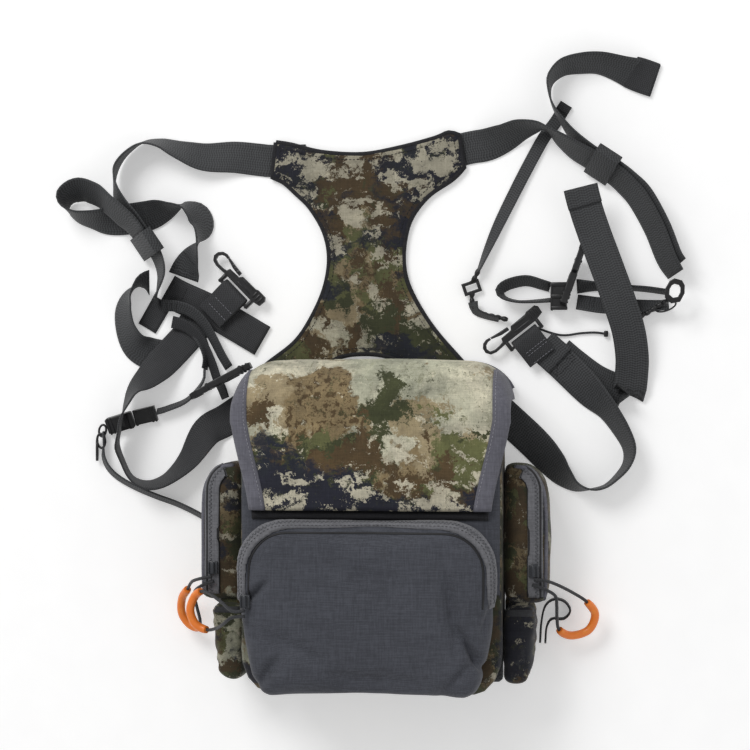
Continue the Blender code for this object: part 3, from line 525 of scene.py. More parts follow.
def loft(name, rings, closed=True, caps=True, around=None):
    """A skin over rings of points, with metres along and around it as its UV map."""
    count = len(rings[0])
    mesh = bpy.data.meshes.new(name)
    shape = bmesh.new()
    uv = shape.loops.layers.uv.new("UVMap")
    rows = [[shape.verts.new(point) for point in ring] for ring in rings]
    along = [0.0]
    for first, second in zip(rings, rings[1:]):
        middle = (sum((Vector(p) for p in second), Vector()) - sum((Vector(p) for p in first), Vector()))
        along.append(along[-1] + middle.length / count)
    if around is None:
        around = [0.0]
        ring = [Vector(p) for p in rings[len(rings) // 2]]
        for index in range(count):
            around.append(around[-1] + (ring[(index + 1) % count] - ring[index]).length)
    last = count if closed else count - 1
    for row in range(len(rows) - 1):
        for index in range(last):
            following = (index + 1) % count
            face = shape.faces.new((rows[row][index], rows[row][following],
                                    rows[row + 1][following], rows[row + 1][index]))
            corners = ((row, index), (row, index + 1), (row + 1, index + 1), (row + 1, index))
            for loop, (r, c) in zip(face.loops, corners):
                loop[uv].uv = (along[r], around[c])
            face.smooth = True
    if closed and caps:
        for row in (rows[0][::-1], rows[-1]):
            shape.faces.new(row)
    bmesh.ops.recalc_face_normals(shape, faces=shape.faces)
    shape.to_mesh(mesh)
    shape.free()
    return mesh


def frames(points):
    """Each point of a line with its way ahead, its level left and its up."""
    made = []
    for index, point in enumerate(points):
        before = Vector(points[max(0, index - 1)][:3])
        after = Vector(points[min(len(points) - 1, index + 1)][:3])
        ahead = (after - before).normalized()
        left = Vector((0, 0, 1)).cross(ahead)
        left = left.normalized() if left.length > 1e-6 else Vector((0, 1, 0))
        made.append((Vector(point[:3]), ahead, left, ahead.cross(left)))
    return made


def tube(name, points, radius, sides=12):
    """A round cord along a line, of one radius or of a list of them."""
    rings = []
    for index, (middle, _, left, up) in enumerate(frames(points)):
        size = radius[index] if isinstance(radius, list) else radius
        angles = [math.tau * side / sides for side in range(sides)]
        rings.append([middle + left * (math.cos(a) * size) + up * (math.sin(a) * size) for a in angles])
    return loft(name, rings)


def strap_ring(middle, left, up, roll, width, thick):
    """The rounded cross-section of webbing, rolled about its middle."""
    turn = math.radians(roll)
    across = left * math.cos(turn) + up * math.sin(turn)
    out = up * math.cos(turn) - left * math.sin(turn)
    half, deep = width / 2, thick / 2
    profile = [(-half, 0.0), (-half + 0.12 * deep, 0.62), (-half + 0.8 * deep, 1.0), (-half * 0.72, 0.93),
               (-half * 0.36, 1.0), (0.0, 0.96), (half * 0.36, 1.0), (half * 0.72, 0.93),
               (half - 0.8 * deep, 1.0), (half - 0.12 * deep, 0.62), (half, 0.0)]
    ring = profile + [(x, -y) for x, y in profile[-2:0:-1]]
    return [middle + across * x + out * (y * deep) for x, y in ring]


def strap_mesh(name, stations, width, thick=1.5 * MM, step=3 * MM):
    """Webbing along stations of (x, y, z, roll) in millimetres and degrees. Gives its mesh and line."""
    points = smoothed([(x * MM, y * MM, z * MM, roll) for x, y, z, roll in stations], step)
    for point in points:
        turn = math.radians(point[3])  # the strap is lifted where its edge would dip into the floor
        low = width / 2 * abs(math.sin(turn)) + thick / 2 * abs(math.cos(turn)) + 0.1 * MM
        point.z = max(point.z, low)
    placed = frames(points)
    rings = [strap_ring(middle, left, up, point[3], width, thick)
             for point, (middle, _, left, up) in zip(points, placed)]
    share = [0.0, 0.02, 0.06, 0.14, 0.32, 0.5, 0.68, 0.86, 0.94, 0.98, 1.0]
    mesh = loft(name, rings, around=[width * s for s in share + share[-2::-1]])
    return mesh, [Vector(point[:3]) for point in points]


def length_of(line):
    """The length of a line of points."""
    return sum((b - a).length for a, b in zip(line, line[1:]))


# --- Straps -------------------------------------------------------------------------------

# Stations are (x, y, z, roll) in millimetres and degrees along the middle of the webbing.
SHOULDER_LEFT = [
    (-59, 287, 1.1, 0), (-86, 287, 1.1, 0), (-96, 288, 1.1, 0), (-115, 290, 2, 10),
    (-138, 290, 5, 28), (-156, 295, 9.5, 52), (-173, 301, 13, 72), (-187, 301, 14, 80),
    (-200, 292, 14.5, 84), (-207, 280, 17, 84), (-206.6, 266, 22.5, 72), (-201, 252, 24.8, 58),
    (-193.5, 241, 23.6, 51), (-187, 231.5, 18.6, 56), (-181, 223, 15.4, 60), (-174, 211, 14.3, 62),
    (-171, 199, 15, 66), (-172.5, 188, 17, 74), (-175.5, 178, 18.5, 84),
]
TAIL_LEFT = [
    (-155, 196, 7, 175), (-152, 204, 8, 158), (-146, 215, 12, 125), (-141, 225, 13.6, 90),
    (-139, 236, 12, 58), (-143, 246, 11.5, 54), (-151, 251, 12.5, 70), (-159, 252, 13.6, 92),
    (-171, 249, 10, 128), (-184, 244.5, 6.5, 152), (-199, 242, 6.5, 156), (-211, 241.2, 6.5, 154),
    (-224, 241.2, 11, 126), (-239, 244, 13, 108), (-248, 251, 13.6, 92), (-247, 259.5, 13.4, 62),
    (-236, 264.5, 15, 48), (-221, 260, 20.5, 50), (-209, 250.8, 27.4, 54), (-196, 239.2, 26.4, 52),
    (-188.8, 230.2, 20, 57), (-182.8, 221.7, 16.6, 60),
]
LOOP_LEFT = [
    (-181, 191.5, 13, 140), (-186, 192, 13, 115), (-191, 189, 13.6, 90), (-198, 181, 12, 62),
    (-202, 170, 10.5, 48), (-201, 157, 9, 42), (-195, 144, 5.5, 28), (-185, 137, 1.6, 6),
    (-173, 134, 1.1, 0),
]
UNDER_LEFT = [(-186, 171, 1.1, 0), (-179, 167, 1.1, 0), (-172, 162.8, 1.1, 0)]
CROSS_LEFT = [(-169, 186.5, 3, 0), (-159, 181, 3, 0), (-131, 168, 3, 0), (-93, 146, 2.4, 0)]
LOWER_LEFT = [
    (-141, 164, 1.1, 0), (-153, 150, 1.1, 0), (-169, 132, 6, 0), (-182, 118, 12, 32),
    (-192, 108, 17, 58), (-197, 97, 21.5, 71), (-201, 86, 23, 81), (-203, 75, 22.6, 81),
    (-205, 64, 18.5, 83), (-202, 52, 14.5, 84), (-196, 40, 13.6, 86), (-186, 34, 13.5, 98),
    (-176, 34, 12.8, 108), (-164, 40, 12, 118), (-150, 54, 8.5, 138), (-137, 75, 3, 168),
    (-122, 84, 1.2, 180), (-104, 96, 1.1, 180),
]
HOOK_STRAP_LEFT = [
    (-172, 174, 8, 30), (-159, 173, 9, 30), (-147, 168, 9, 32), (-138, 159, 8, 36),
    (-131, 147, 7, 40), (-125, 135, 6, 42), (-119, 125, 6, 42),
]
HOOK_UNDER_LEFT = [
    (-164, 161, 7.2, 16), (-154, 158, 6.8, 24), (-144, 150, 6, 32), (-137, 138, 5, 38),
    (-132, 126, 4.5, 40), (-129, 117, 4.5, 40), (-125, 109, 4.5, 40), (-122, 101, 4.5, 46),
]
THIN_LEFT_UPPER = [
    (-138.5, 124, 5.6, 75), (-140, 114, 5.6, 74), (-152, 100, 5.5, 68), (-168, 93, 5.5, 64),
    (-176.5, 90.5, 5.5, 64),
]
THIN_LEFT_LOWER = [
    (-219, 75, 5.5, 84), (-219, 66, 5.5, 80), (-219.5, 56, 5.5, 66), (-216, 47, 5.5, 60),
    (-208, 39, 5.5, 60), (-194, 31, 5.5, 62), (-177, 24, 5.5, 62), (-160, 18, 5.5, 62),
    (-143, 10, 5.5, 62), (-134, 4, 5.5, 62),
]
SHOULDER_RIGHT = [
    (38, 286, 1.1, 0), (54, 291, 1.1, 0), (63, 294, 1.1, 0), (72, 296, 1.1, 0),
    (83, 297.5, 3.2, 14), (96, 302, 8, 36), (109, 308, 13, 56), (121, 310, 17, 78),
    (129, 308, 17.4, 90), (139, 300, 17, 74), (151, 291, 15.4, 62), (161.5, 284.8, 15.1, 59),
    (171, 278.6, 15.1, 57), (181, 271.8, 15.1, 56), (190, 263.5, 14.6, 55), (199, 253, 14, 54),
    (211, 231, 13.4, 54), (220, 208, 13.2, 56), (227, 196, 13.2, 62),
]
TAIL_RIGHT = [
    (229, 203, 15.4, 120), (223.7, 210.5, 15.4, 124), (214.7, 232.7, 15.6, 126),
    (202.4, 255.3, 16.2, 126), (192.2, 266.2, 16.2, 125), (182.4, 274.4, 15.6, 124),
    (172.4, 281.1, 15.2, 123), (163, 287.2, 15.2, 121), (150, 301.5, 15.8, 104),
    (140, 315, 17.2, 94), (134, 325, 17.2, 90), (131, 336, 16, 88), (132, 346, 14.4, 80),
    (141, 355, 12.4, 68), (155, 358, 11.5, 60), (170, 358, 10.5, 56), (187, 353, 8, 42),
    (200, 349, 3.6, 14), (212, 345, 1.4, 0),
]
TETHER_RIGHT = [
    (144, 328, 1.4, 4), (136, 315, 1.4, 4), (127, 303, 1.6, 6), (118, 287, 2, 10),
    (108, 268, 2.2, 14), (94, 240, 3, 28), (84, 218, 4.4, 52), (76, 199, 5.6, 80),
]
TETHER_END = [(72, 176, 4.6, 40), (74, 169, 4.6, 55), (82, 165, 4.8, 66), (92, 162.5, 5, 68)]
CHEST_LOWER = [(222, 173, 7, 62), (200, 172, 7, 48), (174, 172.5, 6, 36), (152, 175.5, 6, 40)]
CHEST_LOOP = [
    (132.5, 177, 7.5, 78), (119, 176, 7.5, 82), (106, 176, 7.5, 84), (96, 179, 7.5, 80),
    (93, 184, 7.2, 66), (99, 189, 7.2, 60), (113, 192, 7.2, 60), (125, 189, 7.2, 62),
    (131.6, 187, 7.2, 64),
]
CHEST_UPPER = [
    (152, 187.5, 6.4, 46), (165, 187.5, 7, 64), (185, 186.5, 7.8, 78), (205, 185, 7.8, 78),
    (222, 182.5, 7.8, 78),
]
WIDE_RIGHT = [
    (155, 262, 27.5, 0), (159, 246, 26, 0), (165, 228, 24.5, 0), (175, 201, 23, 0),
    (184, 176, 22, 2), (191, 154, 18, 2), (194, 134, 12.5, 0), (193.6, 119, 8.2, -2),
    (192.5, 108.2, 7.1, -4), (192.4, 105.7, 6.2, -26), (191.7, 104.3, 4.1, -90),
    (190.1, 104.5, 2.0, -154), (188, 105.7, 1.1, -180), (180, 108.5, 1.1, -180),
    (165, 115.5, 1.1, -180), (150, 126.5, 1.1, -180), (138, 136.5, 1.1, -180),
]
LOWER_RIGHT = [
    (125, 142.5, 5.4, 0), (134, 134.5, 5.2, 0), (149, 120, 5.2, 8), (162, 106.5, 6.6, 24),
    (174.6, 93.8, 10.8, 50), (186, 77, 12.4, 60), (192, 63, 12.6, 68), (190, 51, 13.2, 78),
    (182, 41, 13.6, 84), (173, 34, 13.6, 88), (163, 32, 13.6, 92), (152, 34, 13, 108),
    (143, 41, 11, 128), (133, 52, 6.5, 152), (118, 68, 1.6, 174), (92, 92, 1.1, 180),
]
ACCESSORY_LOOP = [
    (124, -86, 12, 90), (125, -70, 10, 90), (128, -58, 7, 90), (135, -53, 5.6, 90),
    (143, -55, 5.6, 90), (147, -62, 5.6, 90), (142, -68, 5.6, 90), (133, -68, 7, 90),
    (129, -74, 9, 90), (128, -86, 12, 90),
]
WIDE, NARROW, CHEST = 25.4 * MM, 10 * MM, 15 * MM
# Each strap: its CAD node, stations, width, what is on its far end, and its finish.
STRAPS = [
    ("shoulder_strap_left", SHOULDER_LEFT, WIDE, "object", STRAP),
    ("tail_left", TAIL_LEFT, WIDE, "object", STRAP),
    ("adjust_loop_left", LOOP_LEFT, WIDE, "object", STRAP),
    ("under_strap_left", UNDER_LEFT, WIDE, "object", STRAP_DARK),
    ("cross_strap_left", CROSS_LEFT, WIDE, "object", STRAP_DARK),
    ("lower_strap_left", LOWER_LEFT, WIDE, "object", STRAP_DARK),
    ("hook_strap_left", HOOK_STRAP_LEFT, NARROW, "object", STRAP),
    ("hook_strap_left_under", HOOK_UNDER_LEFT, NARROW, "object", STRAP_DARK),
    ("thin_strap_left_upper", THIN_LEFT_UPPER, NARROW, "object", STRAP),
    ("thin_strap_left_lower", THIN_LEFT_LOWER, NARROW, "object", STRAP),
    ("shoulder_strap_right", SHOULDER_RIGHT, WIDE, "object", STRAP),
    ("tail_right", TAIL_RIGHT, WIDE, "bare", STRAP),
    ("tether_right", TETHER_RIGHT, NARROW, "bare", STRAP),
    ("tether_right_end", TETHER_END, NARROW, "object", STRAP_DARK),
    ("chest_strap_lower", CHEST_LOWER, CHEST, "object", STRAP),
    ("chest_strap_loop", CHEST_LOOP, CHEST, "object", STRAP),
    ("chest_strap_upper", CHEST_UPPER, CHEST, "object", STRAP),
    ("wide_strap_right", WIDE_RIGHT, WIDE, "object", STRAP),
    ("lower_strap_right", LOWER_RIGHT, WIDE, "object", STRAP),
    ("accessory_loop_right", ACCESSORY_LOOP, NARROW, "object", STRAP_DARK),
]
# Each strap's points a millimetre apart, with their roll, and its width, by the strap's name.
STRAP_LINES = {}


def make_straps():
    """Each strap in place of its CAD node."""
    for name, stations, width, far_end, finish in STRAPS:
        mesh, line = strap_mesh(name + "_webbing", stations, width)
        piece = add(name + "_webbing", mesh, finish, "pack", "webbing")
        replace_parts(piece, name)
        length = length_of(line)
        if length > 6 * width:  # a shorter one is a sewn tab, and not a free strap
            start = line[-1] if name == "tether_right" else line[0]
            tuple(start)
        stations = [(x * MM, y * MM, z * MM, roll) for x, y, z, roll in stations]
        STRAP_LINES[name] = (smoothed(stations, 1 * MM), width)


def upper_face(name, along, across, lift=0.85 * MM):
    """The place and normal on a strap's upper face, so far along it and so far from its middle."""
    points, width = STRAP_LINES[name]
    index = round(along / MM) if along >= 0 else round(len(points) - 1 + along / MM)
    index = max(0, min(len(points) - 1, index))
    middle, _, left, up = frames(points[max(0, index - 1):index + 2])[min(1, index)]
    turn = math.radians(points[index][3])
    side = left * math.cos(turn) + up * math.sin(turn)
    out = up * math.cos(turn) - left * math.sin(turn)
    if out.z < 0:
        out = -out
    return middle + side * across + out * lift, out


def strap_stitches(label, name, lines):
    """Lines of stitches on a strap, each from (along, across) to (along, across) in millimetres."""
    for number, (start, end) in enumerate(lines):
        spots = [upper_face(name, between(start[0], end[0], step / 10) * MM,
                            between(start[1], end[1], step / 10) * MM) for step in range(11)]
        stitch_row(f"{label}_{number + 1}", [place for place, _ in spots], THREAD_DARK_AND_SHADOW,
                   up=[normal for _, normal in spots], long=1.7 * MM, gap=0.8 * MM, thick=0.26 * MM)


def bars(half, *places):
    """Straight rows across a strap, at places along it."""
    return [((along, -half), (along, half)) for along in places]


def box_stitch(near, far):
    """The four sides and two diagonals of a sewn box on a strap."""
    half = 10.0
    corners = [(near, -half), (near, half), (far, half), (far, -half)]
    sides = list(zip(corners, corners[1:] + corners[:1]))
    return sides + [(corners[0], corners[2]), (corners[1], corners[3])]


# Rows of sewing: their label, their strap and their lines. A minus sign counts from the far end.
STRAP_SEWING = [
    ("wide_strap_end", "wide_strap_right", bars(11.4, 9.6, 13.4)),
    ("tail_right_end", "tail_right", bars(11, -3, -6, -19, -22)),
    ("tail_left_end", "tail_left", bars(11, 3, 6, 16)),
    ("shoulder_left_sewing", "shoulder_strap_left", box_stitch(2, 17)),
    ("shoulder_right_sewing", "shoulder_strap_right", box_stitch(3, 18)),
    ("lower_right_sewing", "lower_strap_right", box_stitch(8, 26)),
    ("lower_left_sewing", "lower_strap_left", bars(11, 4, 9)),
    ("cross_strap_sewing", "cross_strap_left", bars(11, 3, 15)),
    ("hook_strap_sewing", "hook_strap_left", bars(4, 4, 8, 12)),
    ("chest_lower_sewing", "chest_strap_lower", bars(6, -10, -13)),
    ("chest_upper_sewing", "chest_strap_upper", bars(6, 16, 19)),
    ("tether_sewing", "tether_right", bars(4, 3, 6)),
]
# Second layers where webbing is folded back and sewn: stations, width, thickness and finish.
SEWN_LAYERS = [
    ("wide_strap_fold", [(155, 261.6, 28.8, 0), (156.8, 254, 28, 0), (158.6, 247.6, 27.3, 0)], 26.2, 1.7,
     STRAP),
    ("tail_right_fold", [(193, 351.6, 7.2, 28), (201, 349, 4.6, 12), (211.6, 345.4, 2.6, 0)], 26.4, 1.8,
     STRAP_DARK),
    ("lower_right_fold", [(125.4, 142.2, 7, 0), (132, 136.4, 6.9, 0), (139, 130, 6.9, 3)], 26, 1.5, STRAP),
    ("tether_fold", [(144, 328, 2.7, 4), (140, 322, 2.7, 4)], 10.4, 1.2, STRAP_DARK),
    ("thin_left_run", [(-138.5, 124, 5.4, 75), (-137.5, 134, 3.6, 70), (-141, 146, 2.2, 40),
                       (-150, 157, 1.2, 12), (-160, 164, 1.2, 0)], 9.6, 1.4, STRAP),
]


def make_strap_sewing():
    """The folded ends and all the rows of sewing on the straps."""
    for label, stations, wide, thick, finish in SEWN_LAYERS:
        mesh, _ = strap_mesh(label, stations, wide * MM, thick * MM, 2 * MM)
        add(label, mesh, finish, "pack", "webbing")
    for label, name, lines in STRAP_SEWING:
        strap_stitches(label, name, lines)


# --- Pulls --------------------------------------------------------------------------------

# Each pull's cord in millimetres.
PULLS = {
    "side_left": (
        [(-121, -32.5, 67.5), (-129, -34, 66), (-137.5, -37, 55), (-143, -41, 40), (-147, -46, 30),
         (-153, -54, 22), (-154, -66, 18), (-148, -75, 17), (-140, -77, 20), (-137.5, -70, 29),
         (-137.5, -58, 42), (-136.5, -46, 57), (-129, -39.5, 65.5), (-119.5, -36, 66.5)]
    ),
    "front": (
        [(-88, -52.5, 114), (-97, -53, 113.4), (-108, -47, 103), (-120, -43, 86), (-128, -43, 75),
         (-134, -48, 70), (-137, -58, 70), (-133, -68, 70), (-124, -72, 72), (-114, -69, 86),
         (-106, -64, 103), (-98, -58, 112), (-88, -56.5, 114)]
    ),
    "side_right": (
        [(121, -32.5, 67.5), (129, -33, 66), (138, -37, 56), (150, -45, 38), (160, -53, 26),
         (166, -63, 20), (161, -75, 18), (148, -79, 21), (139, -74, 28), (137.5, -64, 38),
         (137.5, -53, 50), (136.5, -45, 58), (129, -39.5, 65.5), (119.5, -36, 66.5)]
    ),
}
SLEEVE_START, SLEEVE_END = 4, 8  # the points of a pull's route between which its sleeve lies


def make_pulls():
    """Each zip pull: a thin cord through its slider, with an orange sleeve on its far half."""
    for name, route in PULLS.items():
        body = "pull_" + name
        stations = metres(route)
        line = smoothed(stations, 1.5 * MM)
        cord = add("cord_" + name, tube("cord_" + name, line, 1.25 * MM), CORD_DARK, body, "webbing")
        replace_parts(cord, "pull_cord_" + name)
        first, last = [min(range(len(line)), key=lambda i: (line[i] - stations[end]).length)
                       for end in (SLEEVE_START, SLEEVE_END)]
        covered = line[first:last + 1]
        # the sleeve's wall is thicker in its middle and rolls over at its two ends
        ends = [min(index, len(covered) - 1 - index) for index in range(len(covered))]
        radii = [(3.2 if near > 2 else 2.75 + 0.2 * near) * MM for near in ends]
        sleeve_mesh = tube("sleeve_" + name, covered, radii, 20)
        sleeve = add("sleeve_" + name, sleeve_mesh, ORANGE, body, "orange")
        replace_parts(sleeve, "pull_sleeve_" + name)
        length_of(line)


# --- Soft pieces --------------------------------------------------------------------------


def node_copy(name, node, shrink=0.0):
    """A merged copy of a CAD node's mesh, drawn in along its normals."""
    mesh = NODES[node].data.copy()
    mesh.name = name
    shape = bmesh.new()
    shape.from_mesh(mesh)
    bmesh.ops.remove_doubles(shape, verts=shape.verts, dist=0.01 * MM)
    bmesh.ops.recalc_face_normals(shape, faces=shape.faces)
    if shrink:
        low = [min(v.co[i] for v in shape.verts) for i in range(3)]
        high = [max(v.co[i] for v in shape.verts) for i in range(3)]
        for vertex in shape.verts:
            for axis in range(3):
                middle = (low[axis] + high[axis]) / 2
                half = (high[axis] - low[axis]) / 2
                vertex.co[axis] = middle + (vertex.co[axis] - middle) * (half - shrink) / half
    shape.to_mesh(mesh)
    shape.free()
    piece = bpy.data.objects.new(name, mesh)
    bpy.context.scene.collection.objects.link(piece)
    return piece


def softened(name, node, finish, slot):
    """A sewn band from its CAD solid, its rims rounded and its cloth mapped in metres."""
    piece = node_copy(name, node)
    modify(piece, "BEVEL", width=0.35 * MM, segments=2, limit_method="ANGLE",
           angle_limit=math.radians(35))
    apply_all(piece)
    bpy.ops.object.mode_set(mode="EDIT")
    bpy.ops.mesh.select_all(action="SELECT")
    bpy.ops.uv.cube_project(cube_size=1.0, scale_to_bounds=False)
    bpy.ops.object.mode_set(mode="OBJECT")
    bpy.ops.object.shade_smooth_by_angle(angle=math.radians(40))
    dressed(piece, finish, "pack", slot)
    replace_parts(piece, node)


PUFF_FRAMES = 20


def puffed(name, node, finish, slot, shrink, cap):
    """A stuffed piece from its CAD solid: remeshed, blown up by the cloth solver and capped."""
    piece = node_copy(name, node, shrink)
    modify(piece, "REMESH", mode="VOXEL", voxel_size=4 * MM)
    apply_all(piece)
    rest = [vertex.co.copy() for vertex in piece.data.vertices]
    solver = modify(piece, "CLOTH")
    settings = solver.settings
    settings.use_pressure = True
    settings.uniform_pressure_force = 4.0
    settings.tension_stiffness = 12
    settings.compression_stiffness = 12
    settings.bending_stiffness = 0.4
    settings.effector_weights.gravity = 0
    settings.quality = 5
    solver.point_cache.frame_start = 1
    solver.point_cache.frame_end = PUFF_FRAMES
    scene = bpy.context.scene
    for step in range(1, PUFF_FRAMES + 1):
        scene.frame_set(step)
    apply_all(piece)
    scene.frame_set(1)
    for vertex, start in zip(piece.data.vertices, rest):
        moved = vertex.co - start
        if moved.length > cap:
            vertex.co = start + moved.normalized() * cap
    modify(piece, "SMOOTH", factor=0.5, iterations=6)
    modify(piece, "SUBSURF", levels=1, render_levels=1)
    apply_all(piece)
    return upholstered(piece, node, finish, slot)


def shaped(piece, move):
    """Moves each vertex of a piece by what a function of its place and normal gives."""
    shape = bmesh.new()
    shape.from_mesh(piece.data)
    shape.normal_update()
    shifts = [move(vertex.co, vertex.normal) for vertex in shape.verts]
    for vertex, shift in zip(shape.verts, shifts):
        vertex.co += shift
    shape.to_mesh(piece.data)
    shape.free()
    piece.data.update()


def crease(place, start, end, width, depth):
    """How deep a place lies in a crease that runs from one point to another, in metres."""
    a, b = Vector(start) * MM, Vector(end) * MM
    line = b - a
    share = max(0.0, min(1.0, (place.xy - a).dot(line) / line.length_squared))
    far = (place.xy - (a + line * share)).length / (width * MM)
    fade = math.sin(math.pi * (0.12 + 0.76 * share))
    return depth * MM * fade * math.exp(-far * far * 2)


# Folds of the front pocket's lower corners, in millimetres: start, end, width, depth.
POCKET_CREASES = [
    ((68, -66), (93, -104), 3.8, 9), ((60, -28), (67, -80), 5, 4.5), ((80, -88), (56, -114), 6, 4.5),
    ((-97, -53), (-73, -32), 3.6, 7), ((-88, -64), (-30, -90), 8, 3.6), ((-62, -86), (-86, -114), 6, 5.5),
    ((97, -38), (86, -68), 4.5, 4.5), ((-30, -100), (44, -104), 8, 2.8), ((-34, -16), (30, -40), 14, 2.2),
    ((-74, 0), (-88, -30), 6, 2.0),
]


def make_front_pocket():
    """The stuffed front pocket, creased at its lower corners."""
    piece = puffed("front_pocket_cloth", "front_pocket", SLATE, "pocket_grey", 0.4 * MM, 4 * MM)

    def move(place, normal):
        shift = noise.noise(place * 24) * 1.5 * MM + noise.noise(place * 60) * 0.5 * MM
        for start, end, width, depth in POCKET_CREASES:
            shift -= crease(place, start, end, width, depth)
        inward = max(0.0, normal.z)
        pinch = max(0.0, -70 * MM - place.y) * max(0.0, abs(place.x) - 60 * MM) * 0.35
        drawn = Vector((-math.copysign(pinch, place.x), 0, 0))
        return normal * shift * (0.35 + 0.65 * inward) + drawn

    shaped(piece, move)
    return piece


def surface_of(piece):
    """A tree to drop points on a piece's surface."""
    mesh = piece.data
    return BVHTree.FromPolygons([v.co for v in mesh.vertices], [tuple(p.vertices) for p in mesh.polygons])


def dropped(tree, x, y, lift=0.0):
    """The point of a surface straight below a place, or else the nearest one, with its normal."""
    place, normal, _, _ = tree.ray_cast(Vector((x, y, 0.3)), Vector((0, 0, -1)))
    if place is None:
        place, normal, _, _ = tree.find_nearest(Vector((x, y, 0.11)))
    if normal.z < 0:
        normal = -normal
    return place + normal * lift, normal


ARCH_STEPS = 9  # points round each corner of an arch


def rounded_arch(half, top, corner, foot):
    """An arch from its left foot over its rounded corners to its right foot."""
    right = [(0.0, top), (half - corner, top)]
    for index in range(1, ARCH_STEPS + 1):
        angle = math.radians(90 - 90 * index / ARCH_STEPS)
        right.append((half - corner + corner * math.cos(angle), top - corner + corner * math.sin(angle)))
    right += [(half, (top - corner + foot) / 2), (half - 0.6 * MM, foot)]
    return [(-x, y) for x, y in reversed(right[1:])] + right


def evenly(points, step):
    """The same line with points a fixed step apart."""
    points = [Vector(point) for point in points]
    made, left = [points[0]], step
    for first, second in zip(points, points[1:]):
        span = (second - first).length
        at = left
        while at <= span:
            made.append(first.lerp(second, at / span))
            at += step
        left = at - span
    return made


def laid(tree, line, step, lift=0.0):
    """Points and normals a step apart along a flat line that is dropped on a surface."""
    return [dropped(tree, x, y, lift) for x, y, _ in evenly([(x, y, 0) for x, y in line], step)]


def band_on(name, line, tree, width, height, finish, slot, sink=0.6 * MM, flat_top=False):
    """A raised band whose middle follows a line over a surface."""
    path = laid(tree, line, 2 * MM)
    rings = []
    for index, (place, normal) in enumerate(path):
        before = path[max(0, index - 1)][0]
        after = path[min(len(path) - 1, index + 1)][0]
        ahead = (after - before).normalized()
        side = normal.cross(ahead).normalized()
        end = min(1.0, (min(index, len(path) - 1 - index) + 1) / 4)  # it thins out at its ends
        ring = []
        for part in range(13):
            angle = math.pi * part / 12
            lift = math.sin(angle) ** (0.45 if flat_top else 0.8) * height * end
            ring.append(place + side * (math.cos(angle) * width / 2) + normal * lift)
        ring += [place - side * (width / 2) - normal * sink, place + side * (width / 2) - normal * sink]
        rings.append(ring)
    return add(name, loft(name, rings), finish, "pack", slot)


# A stitch's rings: how far along it, how high in thicknesses, and how thick.
STITCH_RINGS = ((0.0, -0.5, 0.6), (0.2, 0.25, 1.0), (0.5, 0.45, 1.0), (0.8, 0.25, 1.0), (1.0, -0.5, 0.6))
STITCH_SIDES = 5


def stitch_row(name, points, finish, body="pack", up=None, *, long, gap, thick):
    """A row of stitches, each a short rounded bar of thread that dips at its ends."""
    mesh = bpy.data.meshes.new(name)
    shape = bmesh.new()
    spots = evenly(points, long + gap)
    for index, (first, second) in enumerate(zip(spots, spots[1:])):
        ahead = (second - first).normalized()
        normal = Vector((0, 0, 1))
        if up:
            normal = up[min(len(up) - 1, round(index * (len(up) - 1) / max(1, len(spots) - 1)))]
        side = normal.cross(ahead).normalized()
        out = ahead.cross(side)
        rings = []
        for share, lift, size in STITCH_RINGS:
            middle = first + ahead * (long * share) + out * (thick * lift)
            angles = [math.tau * part / STITCH_SIDES for part in range(STITCH_SIDES)]
            rings.append([shape.verts.new(middle + side * (math.cos(a) * thick * size)
                                          + out * (math.sin(a) * thick * size)) for a in angles])
        for one, two in zip(rings, rings[1:]):
            for part in range(STITCH_SIDES):
                following = (part + 1) % STITCH_SIDES
                face = shape.faces.new((one[part], one[following], two[following], two[part]))
                face.smooth = True
        shape.faces.new(rings[0][::-1])
        shape.faces.new(rings[-1])
    bmesh.ops.recalc_face_normals(shape, faces=shape.faces)
    shape.to_mesh(mesh)
    shape.free()
    add(name, mesh, finish, body)


def surface_stitches(name, line, tree, finish, **more):
    """A row of stitches along a line over a surface."""
    spots = laid(tree, line, 1.5 * MM, 0.15 * MM)
    stitch_row(name, [place for place, _ in spots], finish, up=[normal for _, normal in spots], **more)


# A zip tooth's half width across, its thickness along the zip and its height, in millimetres.
TOOTH_ACROSS, TOOTH_ALONG, TOOTH_HIGH = 1.5, 0.75, 0.9
TOOTH_PITCH = 1.5 * MM


def coil_teeth(name, line, tree):
    """A coil zip's row of slanted teeth over a surface."""
    mesh = bpy.data.meshes.new(name)
    shape = bmesh.new()
    spots = laid(tree, line, TOOTH_PITCH, 0.1 * MM)
    for index, (place, normal) in enumerate(spots[:-1]):
        ahead = (spots[index + 1][0] - place).normalized()
        side = normal.cross(ahead).normalized()
        lean = (ahead + side * (0.5 if index % 2 else -0.5)).normalized()
        across = normal.cross(lean).normalized()
        turn = Matrix((lean, across, normal)).transposed().to_4x4()
        size = Matrix.Diagonal((TOOTH_ALONG * MM, TOOTH_ACROSS * 2 * MM, TOOTH_HIGH * MM, 1))
        made = bmesh.ops.create_icosphere(shape, subdivisions=1, radius=0.55,
                                          matrix=Matrix.Translation(place) @ turn @ size)
        for vertex in made["verts"]:
            for face in vertex.link_faces:
                face.smooth = True
    shape.to_mesh(mesh)
    shape.free()
    add(name, mesh, COIL, "pack", "zip_tape")


def line_along(name, points, radius, finish):
    """A free braided cord through points in millimetres."""
    line = smoothed(metres(points), 2 * MM)
    piece = add(name, tube(name, line, radius * MM, 10), finish, "pack", "webbing")
    length_of(line)


# --- Lid ----------------------------------------------------------------------------------

LID_HINGE_Y = 19 * MM
LID_FACE = 83.8 * MM  # the height of its flat inner face
LID_CURVE = 26 * MM  # the radius of its bend over the pouch's mouth
LID_CURVE_Y = 100 * MM
LID_END = 7.5 * MM
LID_THICK = 3 * MM
LID_FLAT_ROWS, LID_BEND_ROWS, LID_END_ROWS = 26, 20, 13  # how finely each stretch is divided
LID_COLUMNS = 60
